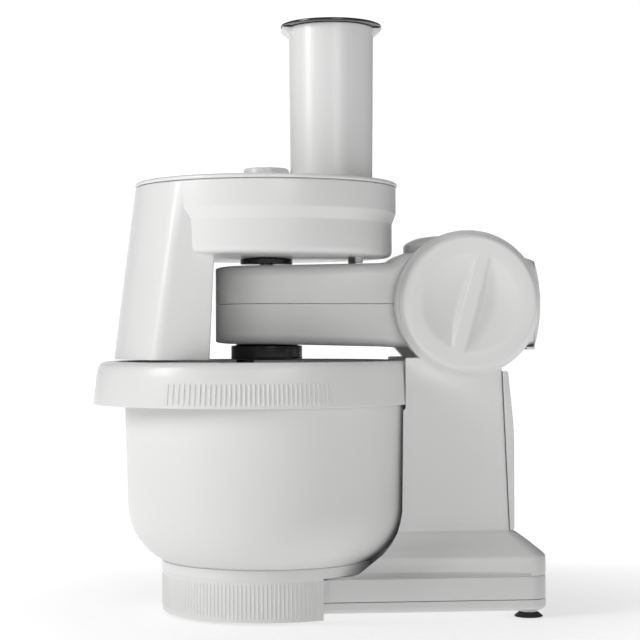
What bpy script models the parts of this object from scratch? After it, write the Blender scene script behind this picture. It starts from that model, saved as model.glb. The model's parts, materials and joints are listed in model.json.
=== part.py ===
"""Stand mixer with a continuous-feed shredder on its swivel arm.

Lengths in the constants and in the helpers' arguments are millimetres; the mesh helpers turn them into metres.
+X runs from the bowl's grip to the rear of the base, -Y is the side with the control knob, +Z is up.
The origin lies on the floor under the middle of the mixer.
"""

import math

import bmesh
import bpy
from mathutils import Matrix, Vector

MM = 0.001
GAP = 0.3
WALL = 2.4

# Sides of round pieces
FINE = 36
MEDIUM = 20
SMALL = 12

# Driving axes
DRIVE_X = -35.0
PIVOT_X = 107.0
PIVOT_Z = 225.0
REAR_X = 162.3

# Base and column
PAN_BOTTOM = 5.5
PAN_TOP = 13.4
SHELL_BOTTOM = PAN_TOP + 0.4
LEDGE = 30.4
PLATE_TOP = 33.0
PLATE_HALF = 63.0
SEAT_R = 74.3
COLUMN_HOLLOW = 108.5
COLUMN_HALF = 49.7
COLUMN_TOP = 186.0
COLUMN_REAR_FOOT = 136.7
COLUMN_LEAN = 0.045
COVER_FOOT = 62.0
COVER_TOP = 176.0
COVER_REAR = 142.0
COVER_BEND_Z = 134.0
COVER_LEAN = 0.105
CHEEK_R = 52.5
CHEEK_OUT = 50.0
CHEEK_IN = 38.5
POCKET_FLOOR = 41.0
SADDLE_R = 66.0
FEET = ((-70.0, -36.0), (-70.0, 36.0), (150.0, -50.0), (150.0, 50.0))

# Pedestal ring
RING_R = 77.5
RING_WALL = 2.5
RING_BOTTOM = 2.2
RING_BAND = 31.6
RING_TOP = 39.3
RING_OPEN_X = DRIVE_X + 35.5

# Bowl
BOWL_BASE = 34.2
BOWL_ARC = 46.0
BOWL_ARC_R = 56.3
BOWL_TOP = 183.8
BOWL_RIM_R = 105.0
BOWL_WALL = 2.2
SKIRT_SHIFT = -10.15
SKIRT_LONG = 117.15
SKIRT_WIDE = 111.0
SKIRT_BOTTOM = 152.5
SKIRT_MIN_R = 107.5

# Arm
ARM_HALF = 37.5
ARM_BOTTOM = 195.0
ARM_PART = 225.0
ARM_TOP = 254.0
ARM_REAR = 157.5
HUMP_TOP = 262.0
DOME_R = 37.0
DOME_X = 104.0
DOME_TOP = 276.0
ARM_BELT_Y = 23.5
ARM_PULLEY_R = 11.0
BASE_BELT_Y = 44.6

# Motor
MOTOR_X = 107.0
MOTOR_Z = 100.0
MOTOR_R = 23.4

# Gearbox in the head
WORM_X = DRIVE_X + 30.0
WORM_Z = 230.0
ORBIT = 16.0
TOOL_X = DRIVE_X - ORBIT

# Knob
KNOB_R = 50.3
KNOB_FRONT = -61.0
KNOB_BACK = -52.6
RECESS_R = 35.5
GRIP_TILT = math.radians(15)

# Shredder
DRUM_R = 95.5
DRUM_LOW_R = 92.5
DRUM_BOTTOM = 259.2
DRUM_STEP_LOW = 283.4
DRUM_STEP_HIGH = 291.3
DRUM_TOP = 310.4
CHUTE_BOTTOM = 185.4
CHUTE_LOW_R = 112.0
CHUTE_BACK = -44.0
LID_R = 96.3
LID_TOP = 313.8
BOSS_TOP = 325.2
TUBE_X = DRIVE_X + 48.3
TUBE_TOP = 429.0
TUBE_R = 31.3
TUBE_FOOT_R = 30.2
TUBE_FOOT = 300.5
CAP_R = 37.4
CAP_TOP = 431.6
DISC_Z = 296.0

WHITE = (0.82, 0.82, 0.81, 1)
BLACK = (0.012, 0.012, 0.013, 1)
STEEL = (0.55, 0.55, 0.56, 1)
BRASS = (0.62, 0.45, 0.18, 1)
COPPER = (0.6, 0.27, 0.12, 1)
BOARD = (0.02, 0.16, 0.05, 1)


def clear_scene():
    for old in list(bpy.data.objects):
        bpy.data.objects.remove(old, do_unlink=True)


def material(name, color, roughness=0.35, metallic=0.0):
    made = bpy.data.materials.new(name)
    made.use_nodes = True
    shader = made.node_tree.nodes["Principled BSDF"]
    shader.inputs["Base Color"].default_value = color
    shader.inputs["Roughness"].default_value = roughness
    shader.inputs["Metallic"].default_value = metallic
    return made


def finish_mesh(name, bm):
    """A new object from a bmesh in millimetres, its normals facing out."""
    bmesh.ops.recalc_face_normals(bm, faces=bm.faces)
    bmesh.ops.scale(bm, vec=Vector((MM, MM, MM)), verts=bm.verts)
    mesh = bpy.data.meshes.new(name)
    bm.to_mesh(mesh)
    bm.free()
    obj = bpy.data.objects.new(name, mesh)
    bpy.context.scene.collection.objects.link(obj)
    return obj


def skin(name, rings):
    """A closed solid through rings of equal point counts, capped at both ends."""
    bm = bmesh.new()
    loops = [[bm.verts.new(point) for point in ring] for ring in rings]
    count = len(rings[0])
    for low, high in zip(loops, loops[1:]):
        for i in range(count):
            j = (i + 1) % count
            bm.faces.new((low[i], low[j], high[j], high[i]))
    bm.faces.new(loops[0])
    bm.faces.new(loops[-1])
    return finish_mesh(name, bm)


def lathe(name, profile, center, axis="Z", steps=MEDIUM):
    """A closed profile of (radius, height) turned about the axis through the centre."""
    turn = {
        "Z": Matrix.Identity(3),
        "Y": Matrix(((1, 0, 0), (0, 0, 1), (0, -1, 0))),
        "X": Matrix(((0, 0, 1), (0, 1, 0), (-1, 0, 0))),
    }[axis]
    bm = bmesh.new()
    middle = Vector(center)
    rings = []
    for radius, height in profile:
        sides = steps if radius > 0 else 1
        ring = []
        for k in range(sides):
            angle = 2 * math.pi * k / steps
            local = Vector((radius * math.cos(angle), radius * math.sin(angle), height))
            ring.append(bm.verts.new(middle + turn @ local))
        rings.append(ring)
    for here, there in zip(rings, rings[1:] + rings[:1]):
        if len(here) == 1 and len(there) == 1:
            continue
        for k in range(steps):
            n = (k + 1) % steps
            corners = [here[k % len(here)], here[n % len(here)], there[n % len(there)], there[k % len(there)]]
            bm.faces.new(list(dict.fromkeys(corners)))
    return finish_mesh(name, bm)


def prism(name, outline, low, high, axis="Z"):
    """An outline extruded along an axis: (x, y) for Z, (x, z) for Y, (y, z) for X."""
    place = {
        "Z": lambda a, b, h: (a, b, h),
        "Y": lambda a, b, h: (a, h, b),
        "X": lambda a, b, h: (h, a, b),
    }[axis]
    return skin(name, [[place(a, b, h) for a, b in outline] for h in (low, high)])


def box(name, x, y, z):
    return prism(name, ((x[0], y[0]), (x[1], y[0]), (x[1], y[1]), (x[0], y[1])), *z)


def arc(center, radius, start, end, steps):
    """Points on an arc, its angles in degrees, both ends included."""
    angles = [math.radians(start + (end - start) * k / steps) for k in range(steps + 1)]
    return [(center[0] + radius * math.cos(a), center[1] + radius * math.sin(a)) for a in angles]


def combine(body, tool, operation, solver="EXACT"):
    """Joins or cuts the body with the tool, and removes the tool."""
    step = body.modifiers.new(operation.lower(), "BOOLEAN")
    step.operation = operation
    step.object = tool
    step.solver = solver
    graph = bpy.context.evaluated_depsgraph_get()
    mesh = bpy.data.meshes.new_from_object(body.evaluated_get(graph))
    body.modifiers.clear()
    body.data = mesh
    bpy.data.objects.remove(tool, do_unlink=True)


def join(body, tool, solver="EXACT"):
    combine(body, tool, "UNION", solver)


def cut(body, tool, solver="EXACT"):
    combine(body, tool, "DIFFERENCE", solver)


def settle(obj, look, origin=(0, 0, 0), sharp=35):
    """Gives the object its material, its origin in millimetres and smooth shading."""
    obj.data.materials.clear()
    obj.data.materials.append(look)
    shift = Vector(origin) * MM
    obj.data.transform(Matrix.Translation(-shift))
    obj.location = shift
    obj.data.shade_smooth()
    obj.data.set_sharp_from_angle(angle=math.radians(sharp))
    return obj


def rod(name, radius, center, low, high, axis="Z", bore=0.0, steps=SMALL):
    """A straight round rod or, with a bore, a tube."""
    if bore:
        profile = ((radius, low), (radius, high), (bore, high), (bore, low))
    else:
        profile = ((0, low), (radius, low), (radius, high), (0, high))
    middle = list(center)
    middle["XYZ".index(axis)] = 0
    return lathe(name, profile, middle, axis, steps)


def plan(front_r, front_half, rear, rear_half, rear_r, hollow=False):
    """The base's outline at one height: its nose is an arc about the bowl's axis, bulged or hollow."""
    reach = math.degrees(math.asin(front_half / front_r))
    end = -reach if hollow else 360 - reach
    nose = arc((DRIVE_X, 0), front_r, reach, end, 20)
    tail = arc((rear - rear_r, rear_r - rear_half), rear_r, 270, 360, 4)
    tail += arc((rear - rear_r, rear_half - rear_r), rear_r, 0, 90, 4)
    return nose + tail


def seat_plan(inset, trim=0.0):
    """The outline of the base's lower walls, round under the bowl, shrunk by the inset and the trim."""
    half = PLATE_HALF - inset - trim
    return plan(SEAT_R - inset - trim, half, REAR_X - inset, half, 13 - inset)


def base_sections(inset):
    """The base and column as (height, outline), shrunk by the inset."""
    upper = (
        (LEDGE + 0.9, 82, 60.3, REAR_X, 62.8, 13),
        (PLATE_TOP, 84.5, 57.5, REAR_X, 62.6, 12),
        (38, 88, 54.5, REAR_X, 62.4, 12),
        (43.5, 93, 53.1, REAR_X, 61.5, 12),
        (45.5, 95, 52.7, REAR_X - 1.1, 60.4, 12),
        (47.5, 96.5, 52.3, REAR_X - 3.4, 59.2, 12),
        (54, 100.3, 51, 151, 55, 11),
        (COVER_FOOT - 1, 103.3, 50.4, COVER_REAR - 0.6, 51, 8),
        (COVER_FOOT - 0.4, 103.4, 50.4, COLUMN_REAR_FOOT, 50.4, 3),
        (76, 106.2, COLUMN_HALF, column_rear(76), COLUMN_HALF, 3),
        (SKIRT_BOTTOM - 3.5, 107, COLUMN_HALF, column_rear(149), COLUMN_HALF, 3),
        (SKIRT_BOTTOM - 2, COLUMN_HOLLOW, COLUMN_HALF, column_rear(150.5), COLUMN_HALF, 3),
        (COLUMN_TOP, COLUMN_HOLLOW, COLUMN_HALF, column_rear(COLUMN_TOP), COLUMN_HALF, 3),
    )
    sections = [(SHELL_BOTTOM, seat_plan(inset)), (LEDGE - 2, seat_plan(inset)), (LEDGE, seat_plan(inset, 1.0))]
    ledge_half = PLATE_HALF - inset - 0.2
    ledge = plan(60.5 - inset, 60.4 - inset, REAR_X - inset, ledge_half, 13 - inset)
    sections.append((LEDGE + 0.45, ledge))
    for height, hollow_r, front_half, rear, rear_half, corner in upper:
        shape = (hollow_r + inset, front_half - inset, rear - inset, rear_half - inset)
        sections.append((height, plan(*shape, max(corner - inset, 1.5), hollow=True)))
    return sections


def column_rear(z):
    return COLUMN_REAR_FOOT - COLUMN_LEAN * (z - COVER_FOOT)


def make_base_shell(look):
    outer = base_sections(0)
    body = skin("base_shell", [[(x, y, z) for x, y in outline] for z, outline in outer])
    inner = base_sections(WALL)
    inner = [(z - (WALL if z > SHELL_BOTTOM else 4), outline) for z, outline in inner]
    inner[-1] = (155.0, inner[-1][1])
    hollow = skin("hollow", [[(x, y, z) for x, y in outline] for z, outline in inner])
    axis = (PIVOT_X, 0, PIVOT_Z)
    join(body, rod("hub", CHEEK_R, axis, -CHEEK_OUT, CHEEK_OUT, "Y", steps=FINE), "MANIFOLD")
    join(body, rod("seat", 57, (DRIVE_X, 0, 0), 28, 33.8, bore=50), "MANIFOLD")
    saddle_half = CHEEK_IN - GAP
    openings = (
        hollow,
        rod("saddle", SADDLE_R, axis, -saddle_half, saddle_half, "Y", steps=FINE),
        rod("near_pocket", 46, axis, -CHEEK_OUT - 1, -POCKET_FLOOR, "Y", steps=MEDIUM),
        rod("far_pocket", 46, axis, POCKET_FLOOR, CHEEK_OUT + 1, "Y", steps=MEDIUM),
        box("belt_way", (80.6, 133.0), (POCKET_FLOOR, CHEEK_OUT + 1), (86, 205)),
        rod("pin_hole", 11.3, axis, -44, -36, "Y"),
        rod("sleeve_hole", 13.3, axis, 36, 44, "Y"),
        box("pawl_hole", (MOTOR_X - 5, MOTOR_X + 5), (-9, 9), (150, 165)),
        box("button_hole", (125, 145), (-14, 14), (137, 153)),
        rod("gland_hole", 7.4, (0, 30, 28), 150, 170, "X"),
    )
    for opening in openings:
        cut(body, opening, "MANIFOLD")
    return settle(body, look)


def make_bottom_pan(look):
    levels = ((PAN_BOTTOM, 3.0), (PAN_BOTTOM + 3, 0.0), (PAN_TOP, 0.0))
    tray = skin("bottom_pan", [[(x, y, z) for x, y in seat_plan(inset)] for z, inset in levels])
    inner = [(x * 0.985 + 0.4, y * 0.97) for x, y in seat_plan(WALL)]
    cut(tray, prism("tray_inside", inner, PAN_BOTTOM + WALL, PAN_TOP + 3))
    for x, y in FEET:
        join(tray, rod("stem", 6.3, (x, y, 0), 3.7, PAN_BOTTOM + 1.5))
    return settle(tray, look)


def make_feet(look):
    profile = ((0, 1.4), (7.4, 0.9), (8.0, 0), (10.0, 0), (10.3, 0.4), (9.6, 1.3), (6.6, 3.4), (0, 3.4))
    for number, (x, y) in enumerate(FEET, 1):
        settle(lathe(f"suction_foot_{number}", profile, (x, y, 0), steps=SMALL), look)


def make_pedestal_ring(look):
    inside = RING_R - RING_WALL
    profile = (
        (RING_R, RING_TOP - 0.8),
        (RING_R - 0.6, RING_TOP - 0.1),
        (inside, RING_TOP - 1.8),
        (inside, RING_BOTTOM),
        (RING_R, RING_BOTTOM),
    )
    ring = lathe("pedestal_ring", profile, (DRIVE_X, 0, 0), steps=48)
    cut(ring, box("opening", (RING_OPEN_X, RING_OPEN_X + 80), (-90, 90), (-5, RING_BAND)))
    return settle(ring, look)


def skirt_radius(angle, taper, least):
    """Distance from the bowl's axis to the shifted oval skirt, never below the least radius."""
    c, s = math.cos(angle), math.sin(angle)
    a, b = SKIRT_LONG - taper, SKIRT_WIDE - taper
    p = (c / a) ** 2 + (s / b) ** 2
    q = -2 * SKIRT_SHIFT * c / a**2
    r = (SKIRT_SHIFT / a) ** 2 - 1
    return max((-q + math.sqrt(q * q - 4 * p * r)) / (2 * p), least)


def make_bowl(look):
    """The bowl and its grip skirt as one turned wall whose skirt follows an oval."""
    arc_z = BOWL_BASE + BOWL_ARC
    outer = arc((BOWL_ARC_R, arc_z), BOWL_ARC, 270, 360, 6)
    inner = arc((BOWL_ARC_R, arc_z), BOWL_ARC - BOWL_WALL, 360, 270, 4)
    rings = [("round", 0, BOWL_BASE)]
    rings += [("round", r, z) for r, z in outer]
    rings += [
        ("round", BOWL_RIM_R, BOWL_TOP - 2.2),
        ("skirt inside", 7.4, BOWL_TOP - 2.2),
        ("skirt inside", 4.8, BOWL_TOP - 8.5),
        ("skirt inside", 2.0, SKIRT_BOTTOM),
        ("skirt outside", 0.0, SKIRT_BOTTOM),
        ("skirt outside", 2.6, BOWL_TOP - 8.0),
        ("skirt outside", 4.2, BOWL_TOP - 2.6),
        ("skirt outside", 8.0, BOWL_TOP),
        ("round", BOWL_RIM_R - BOWL_WALL, BOWL_TOP),
    ]
    rings += [("round", r, z) for r, z in inner]
    rings += [("round", 0, BOWL_BASE + BOWL_WALL)]
    least = {"skirt inside": SKIRT_MIN_R - 1.4, "skirt outside": SKIRT_MIN_R}
    bm = bmesh.new()
    steps = 40
    loops = []
    for kind, size, z in rings:
        loop = []
        for k in range(steps if size or kind != "round" else 1):
            angle = 2 * math.pi * k / steps
            radius = size if kind == "round" else skirt_radius(angle, size, least[kind])
            loop.append(bm.verts.new((DRIVE_X + radius * math.cos(angle), radius * math.sin(angle), z)))
        loops.append(loop)
    for here, there in zip(loops, loops[1:]):
        for k in range(steps):
            n = (k + 1) % steps
            corners = [here[k % len(here)], here[n % len(here)], there[n % len(there)], there[k % len(there)]]
            bm.faces.new(list(dict.fromkeys(corners)))
    return settle(finish_mesh("mixing_bowl", bm), look, (DRIVE_X, 0, BOWL_BASE))


def half_width(x, inset):
    """Half the arm's width at x: round about the tool axis in front, parallel sides behind."""
    radius = ARM_HALF - inset
    back = DRIVE_X - x
    return radius if back <= 0 else math.sqrt(max(radius**2 - back**2, 0.0))


def arm_stations(inset):
    """(x, half width, top, bottom) along the arm."""
    front = DRIVE_X - ARM_HALF + inset
    angles = [8, 20, 35, 50, 70, 90]
    stations = [DRIVE_X - (ARM_HALF - inset) * math.cos(math.radians(a)) for a in angles]
    stations[0] = front + 0.6
    rows = [(x, ARM_TOP - 1, ARM_BOTTOM + 1) for x in stations]
    rows += [
        (45, ARM_TOP + 0.6, ARM_BOTTOM - 1),
        (54, ARM_TOP + 2, ARM_BOTTOM - 1.5),
        (64, HUMP_TOP, ARM_BOTTOM - 1.8),
        (142, HUMP_TOP, ARM_BOTTOM - 1.8),
        (150, HUMP_TOP - 3, ARM_BOTTOM - 1),
        (ARM_REAR - inset, HUMP_TOP - 5, ARM_BOTTOM),
    ]
    return [(x, half_width(x, inset), top - inset, bottom + inset) for x, top, bottom in rows]


def arm_half(name, inset, upper):
    """The arm's upper or lower body: an arch over the parting plane at each station."""
    rings = []
    for x, half, top, bottom in arm_stations(inset):
        corner = min(9.0 if upper else 7.0, half * 0.8)
        edge = ARM_PART + 0.15 if upper else ARM_PART - 0.15
        if inset:
            edge += -2 if upper else 2
        limit = top if upper else bottom
        side = 1 if upper else -1
        near = arc((-half + corner, limit - side * corner), corner, 180, 90, 3)
        far = arc((half - corner, limit - side * corner), corner, 90, 0, 3)
        if not upper:
            near = arc((-half + corner, limit + corner), corner, 180, 270, 3)
            far = arc((half - corner, limit + corner), corner, 270, 360, 3)
        ring = [(-half, edge)] + near + far + [(half, edge)]
        rings.append([(x, y, z) for y, z in ring])
    return skin(name, rings)


def make_arm_shells(look):
    axis = (PIVOT_X, 0, PIVOT_Z)
    origin = (PIVOT_X, 0, PIVOT_Z)
    for name, upper in (("arm_upper_shell", True), ("arm_lower_shell", False)):
        shell = arm_half(name, 0, upper)
        cut(shell, arm_half("inside", WALL, upper))
        cut(shell, rod("near_hole", 14.6, axis, -45, -30, "Y", steps=MEDIUM))
        cut(shell, rod("far_hole", 16.6, axis, 30, 45, "Y", steps=MEDIUM))
        if upper:
            cut(shell, rod("coupling_hole", 10, (DRIVE_X, 0, 0), 240, 270))
            cut(shell, rod("rear_drive_hole", 14, (DOME_X, 0, 0), 250, 270))
        else:
            cut(shell, rod("head_hole", 23.6, (DRIVE_X, 0, 0), 190, 205, steps=MEDIUM))
        cut(shell, box("rear_opening", (ARM_REAR - 6, ARM_REAR + 6), (-32, 32), (199, 250)))
        settle(shell, look, origin)


def make_end_cap(look):
    """A gently bulged plate over the arm's rear end, with a spigot that enters it."""
    bulge = arc((ARM_REAR + 4.8 - 112, PIVOT_Z - 0.5), 112, -15.8, 15.8, 10)
    hook = [(ARM_REAR + GAP, PIVOT_Z - 31.6), (ARM_REAR - 6.5, PIVOT_Z - 31.6)]
    hook += [(ARM_REAR - 5.5, PIVOT_Z - 33.6), (ARM_REAR + 0.5, PIVOT_Z - 33.6)]
    outline = bulge + [(ARM_REAR + GAP, PIVOT_Z + 31)] + hook
    cap = prism("arm_end_cap", outline, -ARM_HALF + 0.5, ARM_HALF - 0.5, "Y")
    spigot = box("spigot", (ARM_REAR - 5, ARM_REAR + 1), (-31.5, 31.5), (199.5, 249.5))
    cut(spigot, box("spigot_inside", (ARM_REAR - 7, ARM_REAR + 0.5), (-29.5, 29.5), (201.5, 247.5)))
    join(cap, spigot)
    return settle(cap, look, (PIVOT_X, 0, PIVOT_Z))


def make_drive_cover(look):
    dome = [(0, DOME_TOP), (20, DOME_TOP - 0.8), (30, DOME_TOP - 2.6), (DOME_R - 1.2, DOME_TOP - 6)]
    profile = dome + [
        (DOME_R, DOME_TOP - 7.5),
        (DOME_R, HUMP_TOP + GAP),
        (DOME_R - WALL, HUMP_TOP + GAP),
        (DOME_R - WALL, DOME_TOP - 8),
        (20, DOME_TOP - 3.4),
        (0, DOME_TOP - 2.8),
    ]
    cover = lathe("drive_cover", profile, (DOME_X, 0, 0))
    return settle(cover, look, (DOME_X, 0, HUMP_TOP))


def belt_loop(name, first, second, y, width, look, origin, thick=1.2):
    """An open belt round two pulleys, each (x, z, radius), in the plane of constant y."""
    def outline(extra):
        dx, dz = second[0] - first[0], second[1] - first[1]
        lean = math.degrees(math.atan2(dz, dx))
        span = math.hypot(dx, dz)
        tilt = math.degrees(math.acos((first[2] - second[2]) / span))
        start = arc(first[:2], first[2] + extra, lean + tilt, lean + 360 - tilt, 10)
        return start + arc(second[:2], second[2] + extra, lean - tilt, lean + tilt, 10)

    belt = prism(name, outline(0.4 + thick), y - width / 2, y + width / 2, "Y")
    cut(belt, prism("belt_inside", outline(0.4), y - width, y + width, "Y"))
    return settle(belt, look, origin)


def make_pivot_parts(white, steel, bronze, rubber):
    axis = (PIVOT_X, 0, PIVOT_Z)
    pin = rod("pivot_pin", 10.8, axis, -41.4, -27, "Y", bore=6, steps=MEDIUM)
    join(pin, rod("pin_head", 14, axis, -43.5, -41.2, "Y", bore=6))
    settle(pin, steel, axis)
    sleeve = rod("pivot_sleeve", 12.8, axis, 27, 41.6, "Y", bore=8, steps=MEDIUM)
    join(sleeve, rod("sleeve_flange", 17, axis, 41.3, 42.0, "Y", bore=8))
    settle(sleeve, steel, axis)
    settle(rod("pivot_bush_near", 14.3, axis, -37.4, -29, "Y", bore=11.4, steps=MEDIUM), bronze, axis)
    settle(rod("pivot_bush_far", 16.3, axis, 29, 37.4, "Y", bore=13.4, steps=MEDIUM), bronze, axis)
    settle(rod("pivot_shaft", 5, axis, 14, 48.6, "Y"), steel, axis)
    pulley = rod("pivot_pulley", 24, axis, 42.6, 46.6, "Y", bore=5.3, steps=28)
    settle(pulley, white, axis)
    arm_pulley = rod("arm_pulley", ARM_PULLEY_R, axis, ARM_BELT_Y - 3, ARM_BELT_Y + 3, "Y", bore=5.3)
    settle(arm_pulley, white, axis)
    motor_side = (MOTOR_X, MOTOR_Z, 9)
    belt_loop("drive_belt", motor_side, (PIVOT_X, PIVOT_Z, 24), BASE_BELT_Y, 3.6, rubber, (0, 0, 0))
    worm_side = (WORM_X, WORM_Z, ARM_PULLEY_R)
    belt_loop("arm_belt", worm_side, (PIVOT_X, PIVOT_Z, ARM_PULLEY_R), ARM_BELT_Y, 5, rubber, axis)


def make_motor(steel, copper, white, black):
    axis = (MOTOR_X, 0, MOTOR_Z)
    stator = rod("motor_stator", MOTOR_R, axis, -18, 18, "Y", bore=16.2, steps=28)
    settle(stator, steel)
    for side, name in ((-1, "motor_bracket_near"), (1, "motor_bracket_far")):
        plate = rod(name, MOTOR_R, axis, *sorted((side * 36, side * 39)), "Y", bore=7, steps=24)
        width = sorted((side * 36, side * 39))
        join(plate, box("leg", (MOTOR_X - MOTOR_R, MOTOR_X + MOTOR_R), width, (80, 88)))
        settle(plate, steel)
        seat = sorted((side * 36, side * 39))
        settle(rod(name.replace("bracket", "bearing"), 6.7, axis, *seat, "Y", bore=4.3), steel)
    for side, name in ((-1, "brush_holder_front"), (1, "brush_holder_rear")):
        x = sorted((MOTOR_X + side * 10.6, MOTOR_X + side * MOTOR_R))
        settle(box(name, x, (-32, -26), (MOTOR_Z - 4, MOTOR_Z + 4)), black)
    settle(rod("motor_shaft", 4, axis, -43, 47.6, "Y"), steel, axis)
    settle(rod("armature", 15.6, axis, -18, 18, "Y", bore=4.3, steps=24), copper, axis)
    settle(rod("commutator", 10, axis, -33, -24, "Y", bore=4.3), copper, axis)
    fan = rod("cooling_fan", 9, axis, 23, 31, "Y", bore=4.3)
    for k in range(9):
        blade = box("blade", (7, 21), (23.5, 30.5), (-0.7, 0.7))
        blade.data.transform(Matrix.Rotation(2 * math.pi * k / 9, 4, "Y"))
        blade.data.transform(Matrix.Translation(Vector((MOTOR_X, 0, MOTOR_Z)) * MM))
        join(fan, blade)
    settle(fan, white, axis)
    settle(rod("motor_pulley", 9, axis, 42.6, 46.6, "Y", bore=4.3), black, axis)


def make_electrics(board_look, black, white):
    board = box("control_board", (84, 128), (-34, 34), (40, 41.6))
    join(board, box("capacitor", (90, 104), (-28, -8), (41, 56)))
    join(board, box("choke", (110, 124), (-24, 4), (41, 52)))
    join(board, rod("relay", 6, (98, 18, 0), 41, 58))
    settle(board, board_look)
    axis = (PIVOT_X, 0, PIVOT_Z)
    settle(rod("speed_switch", 34, axis, -50, -44.2, "Y", bore=8, steps=24), black)
    gland = rod("cord_gland", 7.1, (0, 30, 28), 156, 161.8, "X", bore=3.4)
    join(gland, rod("gland_flange", 9.5, (0, 30, 28), 155, 157, "X", bore=3.4))
    settle(gland, black)


def make_covers(white):
    bulge_r = 800
    rings = []
    for z in (COVER_FOOT, COVER_BEND_Z - 8, COVER_BEND_Z, COVER_BEND_Z + 8, COVER_TOP):
        inside = column_rear(z) + GAP
        outside = COVER_REAR - COVER_LEAN * max(z - COVER_BEND_Z, 0)
        bend = arc((outside - bulge_r, 0), bulge_r, -3.45, 3.45, 8)
        rings.append([(x, y, z) for x, y in [(inside, -49.4)] + bend + [(inside, 49.4)]])
    cover = skin("rear_cover", rings)
    cut(cover, rod("saddle", SADDLE_R, (PIVOT_X, 0, PIVOT_Z), GAP - CHEEK_IN, CHEEK_IN - GAP, "Y", steps=FINE))
    cut(cover, box("button_window", (130, 150), (-14, 14), (137, 153)))
    settle(cover, white)
    outline = arc((PIVOT_X, PIVOT_Z), CHEEK_R - 0.5, -59, 239, 30)
    outline += [(PIVOT_X - 26, 82), (PIVOT_X + 26, 82)]
    plate = prism("belt_cover", outline, CHEEK_OUT + GAP, CHEEK_OUT + 2.6, "Y")
    settle(plate, white)


def make_knob(white):
    axis = (PIVOT_X, 0, PIVOT_Z)
    bezel = rod("switch_bezel", CHEEK_R - 0.8, axis, -52.3, -50.3, "Y", bore=38, steps=FINE)
    settle(bezel, white)
    rim = [(0, KNOB_BACK), (KNOB_R, KNOB_BACK), (KNOB_R, KNOB_FRONT + 3)]
    rim += [(KNOB_R - 0.9, KNOB_FRONT + 0.9), (KNOB_R - 3, KNOB_FRONT), (0, KNOB_FRONT)]
    knob = lathe("control_knob", rim, axis, "Y", FINE)
    dish = [(0, KNOB_FRONT + 6), (20, KNOB_FRONT + 5.6), (30, KNOB_FRONT + 4), (RECESS_R, KNOB_FRONT)]
    dish += [(RECESS_R + 2, KNOB_FRONT - 2), (0, KNOB_FRONT - 2)]
    cut(knob, lathe("recess", dish, axis, "Y", 32))
    bar = box("grip", (-5, 5), (KNOB_FRONT + 0.4, KNOB_FRONT + 7), (-RECESS_R - 1, RECESS_R + 1))
    bar.data.transform(Matrix.Rotation(GRIP_TILT, 4, "Y"))
    bar.data.transform(Matrix.Translation(Vector(axis) * MM))
    join(knob, bar)
    join(knob, rod("knob_stem", 6, axis, -52.7, -45, "Y"))
    return settle(knob, white, axis)


def make_lock(white, steel):
    z = 145.0
    face_x = COVER_REAR + 1.5
    button = box("release_button", (131, face_x), (-13.5, 13.5), (z - 7.5, z + 7.5))
    join(button, rod("button_stem", 3, (0, 0, z), 121, 132, "X", steps=16))
    settle(button, white, (face_x, 0, z))
    settle(coil("release_spring", 5.2, 0.8, (0, 0, z), 122, 130.2, 4), steel, (face_x, 0, z))
    pawl = box("lock_pawl", (MOTOR_X - 4.6, MOTOR_X + 4.6), (-8.6, 8.6), (137, 159.4))
    settle(pawl, steel, (MOTOR_X, 0, 148))


def coil(name, radius, wire, center, low, high, turns):
    """A helical spring along X as one swept round wire."""
    per_turn = 9
    total = per_turn * turns
    rings = []
    for k in range(total + 1):
        angle = 2 * math.pi * k / per_turn
        along = low + (high - low) * k / total
        out = Vector((0, math.cos(angle), math.sin(angle)))
        middle = Vector((along, center[1], center[2])) + out * radius
        ring = []
        for m in range(5):
            turn = 2 * math.pi * m / 5
            ring.append(middle + out * wire * math.cos(turn) + Vector((wire * math.sin(turn), 0, 0)))
        rings.append(ring)
    return skin(name, rings)


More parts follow.
